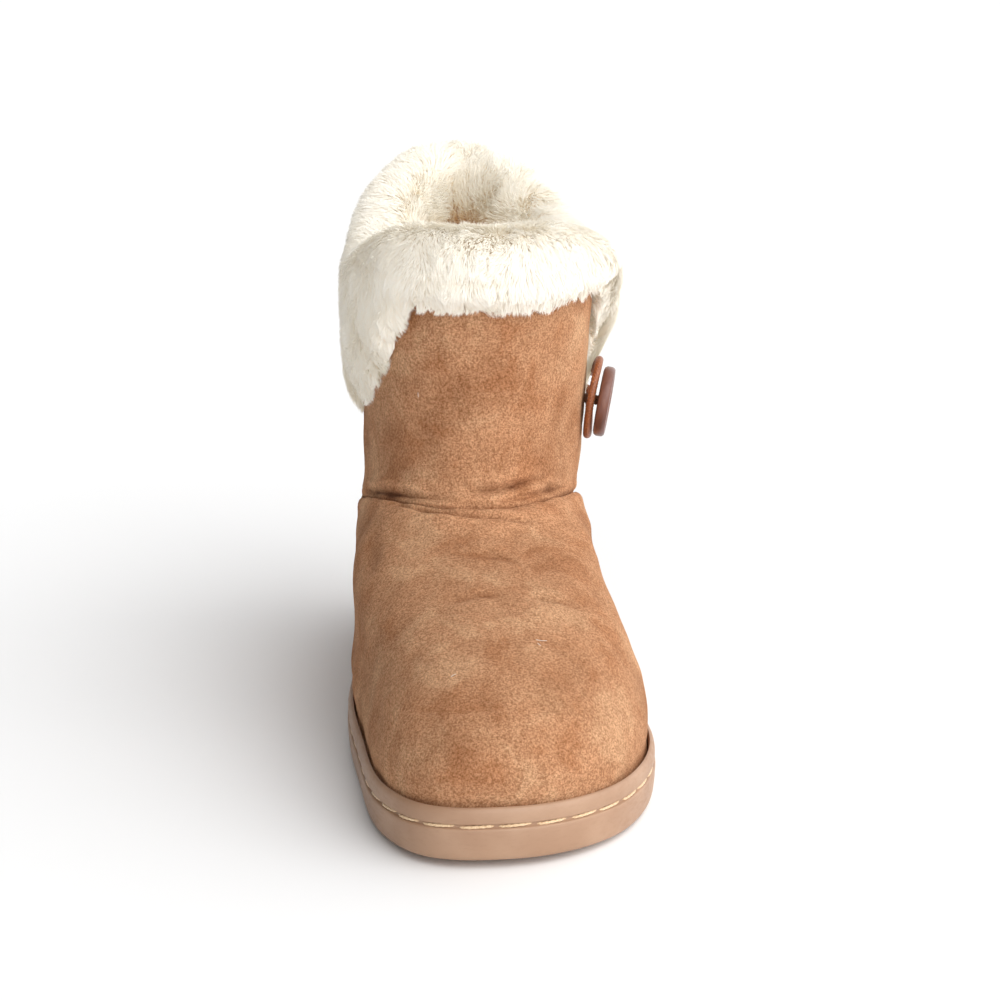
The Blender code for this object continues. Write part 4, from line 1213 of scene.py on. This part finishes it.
def build_loop(elastic):
    """Covered elastic loop round the shank, its ends sewn into the leg behind the slit."""
    seat = button_frame().translation
    guide = []
    for along, up in loop_route():
        z = seat.z + up
        angle = angle_at(seat.y + along, z)
        level = level_at(angle, z)
        guide.append(lifted(level, angle, LOOP_CORD / 2 + LOOP_REST + LOOP_LEAN * (up / LOOP_WIDTH + 0.5)))
    inward = -normal(level, angle)
    first, last = [
        guide[end] + (guide[end] - guide[near]) * 0.25 + inward * 2.6 * MM for end, near in ((0, 1), (-1, -2))
    ]
    guide = np.array([first, *guide, last])
    run = run_along(guide)
    fine = np.linspace(0, run[-1], 260)
    path = np.stack([hermite(run, line, np.gradient(line, run), fine) for line in guide.T], axis=1)
    form = tube(path, LOOP_CORD / 2 * 0.97, 18, 2 * np.pi / (7.5 * MM), 6, 0.055)
    made = object_from_arrays("cord_loop", *form, [elastic])
    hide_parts("button_loop")


# Bits of lint caught in the nap: angle, level, length in millimetres, turn in degrees
LINT = [
    (14, 0.60, 3.6, -25),
    (13, 0.59, 1.6, 100),
    (-22, 0.50, 1.8, 60),
    (-30, 1.50, 1.6, 95),
    (120, 1.30, 2.2, 40),
    (210, 0.70, 2.4, 80),
]


def build_lint(material):
    """Short pale fibres lying on the suede."""
    rng = np.random.default_rng(77)
    parts = []
    for angle, level, length, turn in LINT:
        spot = surface(level, angle)
        out = normal(level, angle)
        side = unit(np.cross([0.0, 0.0, 1.0], out))
        up = np.cross(out, side)
        way = math.cos(math.radians(turn)) * side + math.sin(math.radians(turn)) * up
        bow = np.cross(out, way) * rng.uniform(-0.15, 0.15)
        along = np.linspace(-0.5, 0.5, 9)[:, None] * length * MM
        path = spot + way * along + bow * (along**2 / (length * MM) * 4) + out * 0.75 * MM
        parts.append(tube(path, np.full(9, 0.075 * MM), 5))
    made = object_from_arrays("lint", *joined(parts), [material])


# Studio


def add_sun(name, direction, strength, spread):
    """Soft light that comes from this direction."""
    lamp = bpy.data.lights.new(name, "SUN")
    lamp.energy = strength
    lamp.angle = math.radians(spread)
    placed(name, lamp).rotation_euler = Vector(direction).to_track_quat("Z", "Y").to_euler()


def add_sky():
    """White surroundings, brighter on the shoe's outer side."""
    world = bpy.data.worlds.new("studio")
    world.use_nodes = True
    nodes = world.node_tree.nodes
    split = nodes.new("ShaderNodeSeparateXYZ")
    put(split, {0: nodes.new("ShaderNodeTexCoord").outputs["Generated"]})
    level = nodes.new("ShaderNodeMapRange")
    put(level, {"Value": split.outputs["X"], "From Min": -0.45, "From Max": 1.0})
    put(level, {"To Min": SKY_LEFT, "To Max": SKY_RIGHT})
    put(nodes["Background"], {"Color": (1.0, 1.0, 1.0, 1.0), "Strength": level.outputs["Result"]})
    bpy.context.scene.world = world


def build_studio():
    """Plain pale floor, soft light and the camera."""
    half = FLOOR_SIZE / 2
    points = [(-half, -half, 0), (half, -half, 0), (half, half, 0), (-half, half, 0)]
    mesh = bpy.data.meshes.new("studio_floor")
    mesh.from_pydata(points, [], [(0, 1, 2, 3)])
    mesh.materials.append(floor_material())
    floor = placed("studio_floor", mesh)
    add_sky()
    add_sun("key", (0.75, -0.60, 0.90), 0.95, 60)
    add_sun("front", (0.08, -0.95, 0.60), 1.35, 70)
    bpy.context.scene.view_settings.view_transform = "Standard"
    azimuth, elevation = math.radians(CAMERA_AZIMUTH), math.radians(CAMERA_ELEVATION)
    flat = math.cos(elevation)
    back = Vector((math.sin(azimuth) * flat, -math.cos(azimuth) * flat, math.sin(elevation)))
    lens = bpy.data.cameras.new("camera")
    lens.lens = CAMERA_LENS
    camera = placed("camera", lens)
    camera.location = CAMERA_AIM + back * CAMERA_DISTANCE
    camera.rotation_euler = back.to_track_quat("Z", "Y").to_euler()
    bpy.context.scene.camera = camera


def main():
    suede, fleece = suede_material(), fleece_material()
    gold = thread_material("sole_thread", (208, 172, 130), (238, 212, 176))
    brown = thread_material("button_thread", (96, 58, 36), (150, 98, 62))
    build_studio()
    build_sole(rubber_material())
    build_stitches(gold)
    build_footbed(fleece)
    build_upper(suede, fleece)
    build_shaft(suede, fleece)
    grid, out, corner, top, length = cuff_grid()
    build_undercoat(grid, out, corner, undercoat_material())
    build_fur(grid, out, corner, top, length, fur_material())
    build_button(button_material())
    build_button_thread(brown)
    build_loop(cord_material())
    build_lint(thread_material("lint_fibre", (226, 216, 200), (250, 246, 238)))


main()
